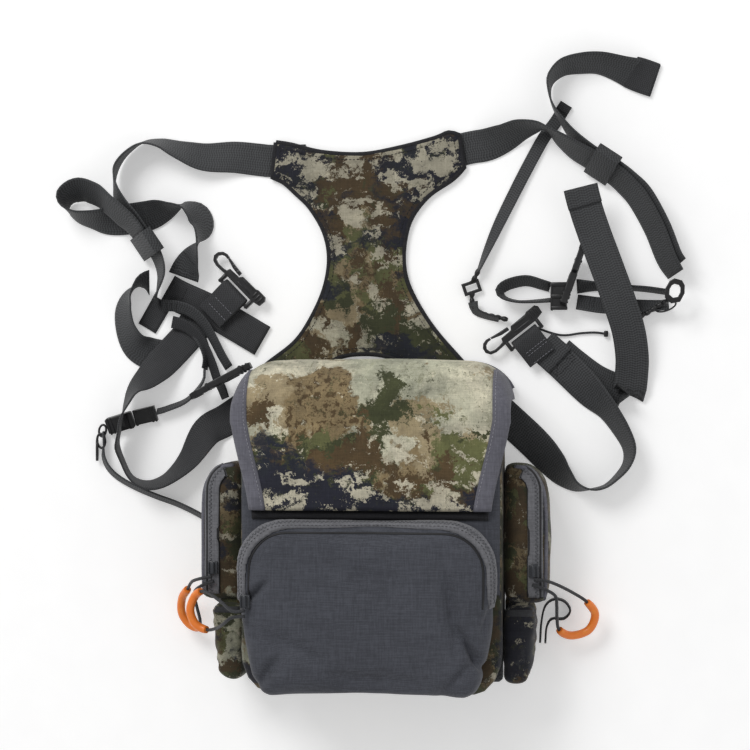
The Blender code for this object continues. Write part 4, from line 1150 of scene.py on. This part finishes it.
# The folded binding in cross-section: how far out from the lid's edge, and how high, in millimetres.
LID_EDGE_PROFILE = (
    (-13.4, 2.2), (-13.2, 3.5), (-12.4, 4.1), (-10.5, 4.4), (-8.2, 4.3), (-6, 3.9), (-3.8, 3.1),
    (-1.8, 1.9), (-0.4, 0.3), (0, -1.4), (-0.6, -2.6), (-2, -2.4), (-4, -0.8), (-8, 0.2), (-12, 0.6),
)


def lid_line():
    """(y, z, normal y, normal z) down the lid's inner face, from its hinge to its free end."""
    rows = []
    for index in range(LID_FLAT_ROWS):
        rows.append((LID_HINGE_Y + (LID_CURVE_Y - LID_HINGE_Y) * index / LID_FLAT_ROWS, LID_FACE, 0.0, 1.0))
    for index in range(LID_BEND_ROWS + 1):
        angle = math.radians(90 - 90 * index / LID_BEND_ROWS)
        rows.append((LID_CURVE_Y + LID_CURVE * math.cos(angle),
                     LID_FACE - LID_CURVE + LID_CURVE * math.sin(angle), math.cos(angle), math.sin(angle)))
    low = LID_FACE - LID_CURVE
    for index in range(1, LID_END_ROWS + 1):
        rows.append((LID_CURVE_Y + LID_CURVE, low - (low - LID_END) * index / LID_END_ROWS, 1.0, 0.0))
    return rows


def lid_half(y):
    """Half the lid's width, which grows towards its bend."""
    share = min(1.0, max(0.0, (y - LID_HINGE_Y) / (87 * MM - LID_HINGE_Y)))
    ease = share * share * (3 - 2 * share) * 0.4 + share * 0.6
    return (90.3 + 14.2 * ease) * MM


def lid_set_back(x):
    """How far the lid's bent end is rounded back at its two sides."""
    past = max(0.0, abs(x) - 72 * MM)
    return 34 * MM - math.sqrt(max(0.0, (34 * MM) ** 2 - min(past, 33.9 * MM) ** 2))


def lid_point(row, x, out):
    """A point of the lid at a row of its line, a sideways place and a height over its inner face."""
    y, z, ny, nz = row
    share = min(1.0, max(0.0, (y - 81 * MM) / 45 / MM))
    return Vector((x, y - lid_set_back(x) * share + ny * out, z + nz * out))


def lid_crown(x, y, half):
    """How far the padded lid stands proud of its flat shape."""
    across = max(0.0, 1 - (x / half) ** 2)
    along = max(0.0, min(1.0, (y - LID_HINGE_Y) / (75 * MM)))
    sag = 2.6 * MM * across ** 0.8 * along
    return sag + noise.noise(Vector((x, y, 0)) * 24) * 0.8 * MM * across


def make_lid():
    """The padded lid, its two side bindings and its hem, all on the lid's own body."""
    rows = lid_line()
    rings = []
    for row in rows:
        half = lid_half(row[0]) - 12 * MM
        places = [half * (2 * index / LID_COLUMNS - 1) for index in range(LID_COLUMNS + 1)]
        rings.append([lid_point(row, x, LID_THICK + lid_crown(x, row[0], half)) for x in places])
    outside = loft("lid_cloth", rings, closed=False, caps=False)
    lid = add("lid_cloth", outside, CAMO_PAINTED_SHADING, "lid", "camo")
    modify(lid, "SOLIDIFY", thickness=2.4 * MM, offset=-1)
    apply_all(lid)
    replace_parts(lid, "lid_panel")
    for side, sign in SIDES:
        rings = []
        for row in rows:
            half = lid_half(row[0])
            wave = noise.noise(Vector((sign, row[0] * 60, row[1] * 60))) * 0.5
            rings.append([lid_point(row, sign * (half + x * MM), (z + wave) * MM)
                          for x, z in LID_EDGE_PROFILE])
        strip = add("lid_edge_" + side, loft("lid_edge_" + side, rings), BINDING, "lid", "binding_grey")
        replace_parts(strip, "lid_binding_" + side)
        points = [lid_point(row, sign * (lid_half(row[0]) - 11 * MM), 4.4 * MM) for row in rows[1:-1]]
        ups = [Vector((0, row[2], row[3])) for row in rows[1:-1]]
        stitch_row("lid_stitches_" + side, points, THREAD_LIGHT, "lid", long=2 * MM, gap=0.9 * MM,
                   thick=0.3 * MM, up=ups)
    make_lid_hem(rows)


def make_lid_hem(rows):
    """The binding along the lid's free end."""
    end = rows[-1]
    half = lid_half(end[0]) - 2 * MM
    line = [lid_point(end, half * (2 * index / 80 - 1), 1.6 * MM) for index in range(81)]
    add("lid_hem", tube("lid_hem", line, 2.3 * MM), BINDING, "lid", "binding_grey")


# --- Zips and their sliders ---------------------------------------------------------------


def box_between(name, low, high, edge, finish, body, slot, segments=2):
    """A block with rounded rims, made from a cube that is shaped in edit mode."""
    bpy.ops.object.select_all(action="DESELECT")
    middle = [(a + b) / 2 * MM for a, b in zip(low, high)]
    size = [(b - a) * MM for a, b in zip(low, high)]
    bpy.ops.mesh.primitive_cube_add(size=1, location=middle)
    piece = bpy.context.active_object
    piece.scale = size
    bpy.ops.object.transform_apply(location=True, rotation=True, scale=True)
    bpy.ops.object.mode_set(mode="EDIT")
    bpy.ops.mesh.select_all(action="SELECT")
    bpy.ops.mesh.bevel(offset=edge * MM, segments=segments, affect="EDGES")
    bpy.ops.object.mode_set(mode="OBJECT")
    piece.name = name
    piece.data.name = name
    bpy.ops.object.shade_smooth_by_angle(angle=math.radians(35))
    return dressed(piece, finish, body, slot)


def joined(name, pieces):
    """Several shaped pieces made one."""
    only(*pieces)
    bpy.ops.object.join()
    pieces[0].name = name
    pieces[0].data.name = name
    return pieces[0]


# A slider's plate, cheeks, bridge and posts about its own middle: low corner, high corner, rounding.
SLIDER_BLOCKS = [
    ((-3.6, -5, 0), (3.6, 5, 1.3), 0.5),
    ((-3.6, -4.2, -0.6), (-2.6, 4.2, 2.2), 0.35), ((2.6, -4.2, -0.6), (3.6, 4.2, 2.2), 0.35),
    ((-1.2, -4.4, 2.9), (1.2, 4.4, 4.1), 0.5),
    ((-1.1, -4.4, 1), (1.1, -3, 3.6), 0.4), ((-1.1, 3, 1), (1.1, 4.4, 3.6), 0.4),
]
# Each slider: its name, its CAD node, its body and its middle.
SLIDERS = [
    ("front_slider", "front_zip_slider", "slider_front", (-88, -46, 111.7)),
    ("side_slider_left", "side_zip_slider_left", "slider_side_left", (-120.5, -26, 64.4)),
    ("side_slider_right", "side_zip_slider_right", "slider_side_right", (120.5, -26, 64.4)),
]


def make_sliders():
    """Each zip slider: its base, its side cheeks and the bridge that its pull runs under."""
    for label, node, body, middle in SLIDERS:
        blocks = []
        for index, (low, high, edge) in enumerate(SLIDER_BLOCKS):
            ends = [[a + b for a, b in zip(middle, corner)] for corner in (low, high)]
            blocks.append(box_between(f"{label}_{index}", *ends, edge, SLIDER_PAINT, body, "zip_slider"))
        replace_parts(joined(label, blocks), node)


def make_front_zip(pocket):
    """The zip over the top of the front pocket: its band, a dark line of painted shadow where band and
    panel meet, its coil and stitches.
    """
    tree = surface_of(pocket)
    arch = rounded_arch(91.6 * MM, 10 * MM, 34 * MM, -52 * MM)
    band = band_on("front_zip_band", arch, tree, 10 * MM, 2.6 * MM, PIPING, "zip_tape", flat_top=True)
    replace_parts(band, "front_zip")
    # Painted shadow: a thin dark band along the zip band's inner edge stands for the shade where band and
    # pocket meet.
    seam_shadow_line = rounded_arch(85.9 * MM, 4.3 * MM, 28.4 * MM, -52 * MM)
    band_on("front_zip_painted_shadow", seam_shadow_line, tree, 1.7 * MM, 0.7 * MM, THREAD_DARK_AND_SHADOW, "zip_tape")
    spine = surface_of(band)
    coil_line = rounded_arch(93.8 * MM, 12.2 * MM, 36 * MM, -49 * MM)
    coil_teeth("front_zip_coil", coil_line, spine)
    stitch_line = rounded_arch(91.4 * MM, 9.8 * MM, 33.8 * MM, -50 * MM)
    surface_stitches("front_zip_stitches", stitch_line, spine, THREAD_DARK_AND_SHADOW, long=1.6 * MM, gap=1.4 * MM,
                     thick=0.2 * MM)


# The outer edge of the right side pocket, from its foot up, in millimetres.
SIDE_POCKET_EDGE = [(128.6, -50), (129.4, -15), (129, 22), (126, 38), (118, 48.6), (105, 51.6)]
# Dark lines of a side zip, painted shadow: the gap line for the shade in the zip's gap, the other line for
# a dark join with the shade along the band's inner edge. Label, how far out of the zip's line, width and
# height in millimetres.
SIDE_ZIP_LINES = [("gap", 5.2, 1.6, 0.4), ("seam_shadow_line", -4.4, 1.2, 0.4)]


def side_arch(sign, out):
    """The zip's line over a side pocket, from its foot up and round the outer corner."""
    run = [((120.5 + out) * MM, y * MM) for y in (-46, -15, 22)]
    for index in range(1, 9):
        angle = math.radians(10.5 * index)
        run.append(((109.3 + (11.2 + out) * math.cos(angle)) * MM,
                    (32 + (15 + out) * math.sin(angle)) * MM))
    return [(sign * x, y) for x, y in run]


def make_side_pockets():
    """Both stuffed side pockets with their zips and piping, and the stretch sleeves below them."""
    for side, sign in SIDES:
        # The side pockets wear the darker camouflage copy, partly painted shade.
        pocket = puffed("side_pocket_cloth_" + side, "side_pocket_" + side, CAMO_SMALL_SHADED, "camo",
                        0.8 * MM, 3 * MM)

        def move(place, normal):
            return normal * (noise.noise(place * 45 + Vector((sign, 0, 0))) * 0.8 * MM)

        shaped(pocket, move)
        tree = surface_of(pocket)
        band = band_on("side_zip_band_" + side, side_arch(sign, 1.4), tree, 12 * MM, 1.4 * MM, PIPING,
                       "zip_tape", flat_top=True)
        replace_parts(band, "side_zip_" + side)
        spine = surface_of(band)
        coil_teeth("side_zip_coil_" + side, side_arch(sign, 2.4), spine)
        # Dark bands at the zip's gap and along its inner edge: painted shadow.
        for label, out, width, height in SIDE_ZIP_LINES:
            band_on(f"side_zip_{label}_{side}", side_arch(sign, out), spine, width * MM, height * MM,
                    THREAD_DARK_AND_SHADOW, "zip_tape")
        edge = [(sign * x * MM, y * MM, 0) for x, y in SIDE_POCKET_EDGE]
        piping = [point[:2] for point in smoothed(edge, 4 * MM)]
        band_on("side_pocket_piping_" + side, piping, tree, 3.6 * MM, 1.6 * MM, BINDING, "binding_grey")
        sleeve = puffed("stretch_sleeve_cloth_" + side, "stretch_sleeve_" + side, CAMO_SMALL_SHADED, "camo",
                        0.1 * MM, 1.6 * MM)

        def wrinkle(place, normal):
            ripple = math.sin(place.y * 520 + noise.noise(place * 40) * 4) * 0.45 * MM
            return normal * (ripple + noise.noise(place * 60) * 0.8 * MM)

        shaped(sleeve, wrinkle)


# --- Pouch, back and yoke -----------------------------------------------------------------


def make_pouch():
    """The pouch as an open box of padded cloth, its mouth towards the yoke."""
    bpy.ops.object.select_all(action="DESELECT")
    bpy.ops.mesh.primitive_cube_add(size=1, location=(0, -5.5 * MM, 45.3 * MM))
    shell = bpy.context.active_object
    shell.scale = (196 * MM, 225 * MM, 70 * MM)
    bpy.ops.object.transform_apply(location=True, rotation=True, scale=True)
    bpy.ops.object.mode_set(mode="EDIT")
    mesh = bmesh.from_edit_mesh(shell.data)
    bpy.ops.mesh.select_all(action="DESELECT")
    mesh.faces.ensure_lookup_table()
    for face in mesh.faces:
        face.select_set(face.normal.y > 0.9)
    bmesh.update_edit_mesh(shell.data)
    bpy.ops.mesh.delete(type="FACE")
    bpy.ops.mesh.select_all(action="SELECT")
    bpy.ops.mesh.subdivide(number_cuts=20)
    bpy.ops.object.mode_set(mode="OBJECT")
    low, high = Vector((-98, -118, 10.3)) * MM, Vector((98, 200, 80.3)) * MM
    radius = 9 * MM
    for vertex in shell.data.vertices:
        place = vertex.co
        inner = Vector([min(max(place[i], low[i] + radius), high[i] - radius) for i in range(3)])
        away = place - inner
        if away.length > 1e-9:
            vertex.co = inner + away.normalized() * min(radius, away.length)
        past = max(0.0, -88 * MM - vertex.co.y) / (30 * MM)
        vertex.co.x *= 1 - 0.13 * past * past
    shaped(shell, lambda place, normal: normal * (noise.noise(place * 30) * 0.6 - 0.4) * MM)
    modify(shell, "SOLIDIFY", thickness=3.4 * MM, offset=-1, material_offset=1, material_offset_rim=1)
    shell.data.materials.clear()
    for finish in (CAMO_SMALL_SHADED, LINING, SLATE):
        shell.data.materials.append(finish)
    shell.name = "pouch_cloth"
    shell.data.name = "pouch_cloth"
    apply_all(shell)
    for face in shell.data.polygons:
        if face.material_index == 0 and face.normal.z > 0.6 and face.center.y > -48 * MM:
            face.material_index = 2
    bpy.ops.object.shade_smooth()
    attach(shell, "pack")
    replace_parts(shell, "pouch_shell")
    rim = []
    for index in range(121):
        angle = math.tau * index / 120
        x = max(-96.5, min(96.5, 118 * math.cos(angle)))
        z = max(12.0, min(78.6, 45.3 + 52 * math.sin(angle)))
        rim.append(Vector((x * MM, 107 * MM, z * MM)))
    add("pouch_mouth_binding", tube("pouch_mouth_binding", rim, 2.4 * MM, 10), BINDING, "pack",
        "binding_grey")


def make_joins():
    """The fold that hinges the lid, and the gussets between the side pockets and their sleeves."""
    rings = []
    for index in range(61):
        x = 88 * MM * (2 * index / 60 - 1)
        swell = noise.noise(Vector((x * 40, 0, 0))) * 0.3 * MM
        angles = [math.tau * part / 14 for part in range(14)]
        rings.append([Vector((x, (15.4 + 3.3 * math.cos(a)) * MM, (80.7 + 2.6 * math.sin(a)) * MM + swell))
                      for a in angles])
    add("lid_hinge_fold", loft("lid_hinge_fold", rings), LINING, "pack", "lining")
    for side, sign in SIDES:
        low, high = sorted((sign * 99, sign * 118))
        box_between("side_gusset_" + side, (low, -66, 13), (high, -44, 55), 6, CAMO_SMALL_SHADED, "pack", "camo",
                    segments=4)
        hem = [((sign * (98.6 + 24 * a)) * MM, -57.5 * MM) for a in (0.02, 0.25, 0.5, 0.75, 0.98)]
        tree = surface_of(bpy.data.objects["stretch_sleeve_cloth_" + side])
        band_on("sleeve_hem_" + side, hem, tree, 5 * MM, 0.9 * MM, ELASTIC, "binding_grey", sink=0.4 * MM)


def make_back_panel():
    """The padded back, with sewn channels on the side that is worn against the chest."""
    piece = node_copy("back_panel_cloth", "back_panel", 0.3 * MM)
    modify(piece, "REMESH", mode="VOXEL", voxel_size=2.5 * MM)
    modify(piece, "SMOOTH", factor=0.5, iterations=3)
    apply_all(piece)

    def move(place, normal):
        channel = min(abs(place.x - line * MM) for line in (-62, -21, 21, 62))
        cut = math.exp(-(channel / (2.2 * MM)) ** 2) * 1.6 * MM
        return Vector((0, 0, cut)) if normal.z < -0.5 and place.z < 3 * MM else Vector()

    shaped(piece, move)
    upholstered(piece, "back_panel", BACK_MESH, "lining")


# The yoke's outline in millimetres, round from its upper left corner.
YOKE_OUTLINE = [
    (-82, 301), (-85, 274), (-76, 270), (-66, 261), (-55, 250), (-44, 231), (-40, 210), (-44, 186),
    (-55, 162), (-68, 144), (-91, 126), (-107, 108), (-88, 91), (-72, 104), (-47, 126), (-30, 134),
    (-12, 136), (5, 134), (18, 128), (44, 106), (62, 91), (86, 104), (64, 129), (43, 153), (29, 174),
    (20, 194), (18, 215), (23, 239), (37, 258), (56, 271), (65, 280), (61, 305), (53, 307), (43, 303),
    (16, 296), (-14, 291), (-46, 293), (-70, 299),
]
# Where the yoke's outline turns sharply, so that it isn't rounded away.
YOKE_CORNERS = [(-82, 301), (-85, 274), (-107, 108), (-88, 91), (62, 91), (86, 104), (65, 280), (61, 305)]


def yoke_edge():
    """The yoke's outline as smooth runs between its corners."""
    ring = YOKE_OUTLINE + YOKE_OUTLINE[:1]
    runs, run = [], [ring[0]]
    for point in ring[1:]:
        run.append(point)
        if point in YOKE_CORNERS:
            runs.append(run)
            run = [point]
    if len(run) > 1:
        runs.append(run)
    line = []
    for part in runs:
        if len(part) > 2:
            line += [p[:2] for p in smoothed([(x * MM, y * MM, 0) for x, y in part], 4 * MM)][:-1]
        else:
            line += [(p[0] * MM, p[1] * MM) for p in evenly([(x, y, 0) for x, y in part], 4)]
    return line


def make_yoke():
    """The yoke: a thin padded panel with a rolled binding and a row of stitches inside it."""
    line = yoke_edge()
    piece = node_copy("yoke_cloth", "yoke_panel")
    modify(piece, "REMESH", mode="VOXEL", voxel_size=1.5 * MM)
    apply_all(piece)
    edge = BVHTree.FromPolygons(
        [Vector((x, y, z)) for x, y in line for z in (-1, 1)],
        [(2 * i, 2 * i + 1, (2 * i + 3) % (2 * len(line)), (2 * i + 2) % (2 * len(line)))
         for i in range(len(line))],
    )

    def move(place, normal):
        _, _, _, far = edge.find_nearest(Vector((place.x, place.y, 0)))
        puff = min(1.0, far / (14 * MM)) ** 0.6
        if normal.z > 0.4:
            return Vector((0, 0, (puff * 1.7 + noise.noise(place * 35) * 0.5) * MM))
        return Vector()

    shaped(piece, move)
    modify(piece, "SMOOTH", factor=0.5, iterations=4)
    apply_all(piece)
    upholstered(piece, "yoke_panel", CAMO_YOKE, "camo")
    ring = [Vector((x, y, 3.7 * MM)) for x, y in line]
    ring.append(ring[0].copy())
    add("yoke_binding", tube("yoke_binding", ring, 2.1 * MM), LINING, "pack", "lining")
    tree = surface_of(piece)
    inside = []
    for before, (x, y), after in zip(line[-1:] + line, line, line[1:] + line[:1]):
        way = Vector((after[0] - before[0], after[1] - before[1], 0)).normalized()
        inside.append((x - way.y * 4.2 * MM, y + way.x * 4.2 * MM))
    surface_stitches("yoke_stitches", inside, tree, THREAD_DARK_AND_SHADOW, long=2 * MM, gap=1 * MM, thick=0.28 * MM)


# --- Moulded fittings ---------------------------------------------------------------------

PLASTIC_NODES = [
    "clip_a_body", "clip_b_body", "clip_c_body", "clip_d_body", "oval_adjuster_left", "adjuster_right",
    "tether_adjuster", "mini_buckle_socket", "mini_buckle_plug",
]
GATES = ["clip_a_gate", "clip_b_gate", "clip_c_gate", "clip_d_gate"]
KEEPERS = ["keeper_left", "keeper_right"]
TABS = ["clip_tab_a", "clip_tab_c"]
# Each clip's middle in millimetres, its heading and its turn about its length in degrees.
CLIP_PLACES = {
    "a": ((-115, 183, 8.6), 134, 180),
    "b": ((-119, 117, 28.5), 207.7, -90),
    "c": ((113.5, 148, 8.5), 218, 180),
    "d": ((148.5, 193.5, 4.8), 71, 90),
}
# Raised details of each clip in its own millimetres: low corner, high corner, rounding.
CLIP_DETAILS = [
    ((-19.5, 8.6, -3.2), (-18, 14.2, 3.2), 0.5), ((-16.5, 8.6, -3.2), (-15, 14.6, 3.2), 0.5),
    ((-13.5, 8.6, -3.2), (-12, 14.4, 3.2), 0.5), ((-10, 8.4, -3.0), (4, 9.6, 3.0), 0.4),
    ((-10, 13, -3.0), (2, 14, 3.0), 0.4), ((13.6, -1.6, -3.1), (15.4, 6.4, 3.1), 0.5),
    ((-15.4, -1.6, -3.1), (-13.6, 6.4, 3.1), 0.5), ((17, 5.9, -1.2), (26, 7.2, 1.2), 0.5),
]
GATE_DETAILS = [((0.2, -1.2, -2.5), (2.4, 1.6, 2.5), 0.5), ((4.4, -0.6, -2.4), (5.6, 1.9, 2.4), 0.4),
                ((7, -0.2, -2.4), (8.2, 2.3, 2.4), 0.4)]
GATE_PIVOT = Matrix.Translation((8 * MM, 14.3 * MM, 0))
LADDER_BARS = [((132.6, 169, 15.4), (145, 172, 17.6), 0.6), ((132.6, 178, 15.4), (145, 181, 17.6), 0.6),
               ((132.6, 187.2, 15.4), (145, 190.4, 17.6), 0.6), ((132, 168.8, 2), (133.8, 190.2, 17), 0.5)]


def placed(centre, heading, turn):
    """A fitting's own frame, from its middle in millimetres and its two turns in degrees."""
    return (Matrix.Translation(Vector(centre) * MM) @ Matrix.Rotation(math.radians(heading), 4, "Z")
            @ Matrix.Rotation(math.radians(turn), 4, "X"))


def blocks_at(name, place, blocks, finish, body):
    """Moulded ribs and pads in a fitting's own frame, made one."""
    made = [box_between(f"{name}_{index}", low, high, edge, finish, body, "buckle")
            for index, (low, high, edge) in enumerate(blocks)]
    joined(name, made).data.transform(place)


def make_clips():
    """Ribs on each clip and grips on each gate, and the bars of the ladder adjuster."""
    for name, (centre, heading, turn) in CLIP_PLACES.items():
        place = placed(centre, heading, turn)
        body = "pack" if name == "d" else "clip_" + name
        blocks_at("clip_ribs_" + name, place, CLIP_DETAILS, PLASTIC, body)
        blocks_at("gate_grips_" + name, place @ GATE_PIVOT, GATE_DETAILS, PLASTIC_RUBBED, "gate_" + name)
    blocks_at("ladder_bars", Matrix(), LADDER_BARS, PLASTIC, "pack")


def make_buckle():
    """Ribs and side arms of the small buckle."""
    socket = placed((-206, 81.75, 5), 17, 15)
    blocks_at("mini_buckle_ribs", socket, [
        ((-9.6, -6.8, 1.6), (-8.2, 6.8, 3.5), 0.4), ((-1.5, -4, 2.4), (4, 4, 3.3), 0.5),
        ((6.4, -6.8, 1.4), (9.8, 6.8, 3.3), 0.5), ((-6.6, -6.8, 1.8), (-5.4, 6.8, 3.3), 0.4),
    ], PLASTIC, "pack")
    plug = placed((-185.9, 87.6, 5), 13.2, 15)
    blocks_at("mini_buckle_bars", plug, [
        ((4.6, -6.4, 1.2), (6.4, 6.4, 3), 0.4), ((7.2, -6.4, 1.2), (8.8, 6.4, 3), 0.4),
        ((-8.6, -6.4, 1.4), (-6.6, 6.4, 2.9), 0.4),
    ], PLASTIC, "pack")


def chain(name, points):
    """A short braided leash with a bead at every turn of the braid."""
    line = smoothed(metres(points), 1 * MM)
    radii = [(1.35 + 0.75 * abs(math.sin(index * math.pi / 5))) * MM for index in range(len(line))]
    add(name, tube(name, line, radii), PLASTIC, "pack", "buckle")


def wire_ring(name, centre, across, high, tilt, radius):
    """A closed oval wire ring."""
    turn = Matrix.Translation(Vector(centre) * MM) @ Matrix.Rotation(math.radians(tilt), 4, "Z")
    rings = []
    for step in range(41):
        angle = math.tau * step / 40
        out = Vector((math.cos(angle), math.sin(angle), 0))
        middle = Vector((math.cos(angle) * across * MM, math.sin(angle) * high * MM, 0))
        ring = []
        for part in range(10):
            a = math.tau * part / 10
            wire = out * (math.cos(a) * radius * MM) + Vector((0, 0, math.sin(a) * radius * MM))
            ring.append(turn @ (middle + wire))
        rings.append(ring)
    add(name, loft(name, rings, caps=False), PLASTIC_RUBBED, "pack", "buckle")


def make_free_cords():
    """Leashes, wire rings, the thin cord and the sewing of the two tabs."""
    chain("tether_leash", [(72, 184, 3.6), (71, 179, 2.8), (73, 171, 2.8), (80, 166.6, 3), (89, 164.4, 4.4),
                           (99, 162, 6.4)])
    chain("tether_link", [(76.6, 201, 6.4), (74.4, 196, 6.2), (71.2, 191, 4.4)])
    chain("adjuster_braid", [(199, 163.5, 12), (206, 167, 12.5), (212, 171, 13), (218, 174.5, 15),
                             (223, 178, 20)])
    wire_ring("adjuster_ring", (219.5, 171.5, 13), 8, 3.2, 20, 0.7)
    wire_ring("left_link_high", (-220, 75.5, 6), 4.6, 2.8, 80, 0.9)
    wire_ring("left_link_low", (-221, 67.5, 6.4), 5.6, 3.2, 96, 1.0)
    line_along("thin_cord_right", [(120, 156, 3), (135, 151, 2.4), (144, 150, 2), (155, 151.5, 1.8),
                                   (166, 152, 1.8), (174, 151, 2)], 0.9, CORD_DARK)
    box_between("thin_cord_end", (172.6, 148.6, 1), (176, 153.4, 4.2), 0.7, PLASTIC, "pack", "buckle")
    for name in ("a", "c"):
        place = placed(*CLIP_PLACES[name])
        high = -1.95 if name == "a" else -2.55
        for row, y in enumerate((-9.5, -12, -19)):
            spots = [place @ Vector((x * MM, y * MM, high * MM)) for x in (-10.5, -5, 0, 5, 10.5)]
            stitch_row(f"clip_tab_stitches_{name}_{row}", spots, THREAD_LIGHT, long=1.8 * MM, gap=0.9 * MM,
                       thick=0.22 * MM)


def finish_fittings():
    """Finishes for the moulded CAD nodes, and webbing in place of the keepers and tabs."""
    for names, finish in ((PLASTIC_NODES, PLASTIC), (GATES, PLASTIC_RUBBED)):
        for name in names:
            NODES[name].data.materials.clear()
            NODES[name].data.materials.append(finish)
    for names, finish in ((KEEPERS, STRAP), (TABS, STRAP_DARK)):
        for name in names:
            softened(name + "_webbing", name, finish, "webbing")


# --- Floor --------------------------------------------------------------------------------


def make_floor():
    """The table's white paper, a little below the pack."""
    bpy.ops.object.select_all(action="DESELECT")
    bpy.ops.mesh.primitive_plane_add(size=6, location=(0, 0.1, -0.1 * MM))
    floor = bpy.context.active_object
    floor.name = "floor"
    floor.data.materials.append(floor_paper())


set_camera()
set_light()
make_floor()
make_straps()
make_pulls()
pocket = make_front_pocket()
make_front_zip(pocket)
make_side_pockets()
make_lid()
make_pouch()
make_back_panel()
make_yoke()
make_sliders()
make_joins()
make_strap_sewing()
finish_fittings()
make_clips()
make_buckle()
make_free_cords()
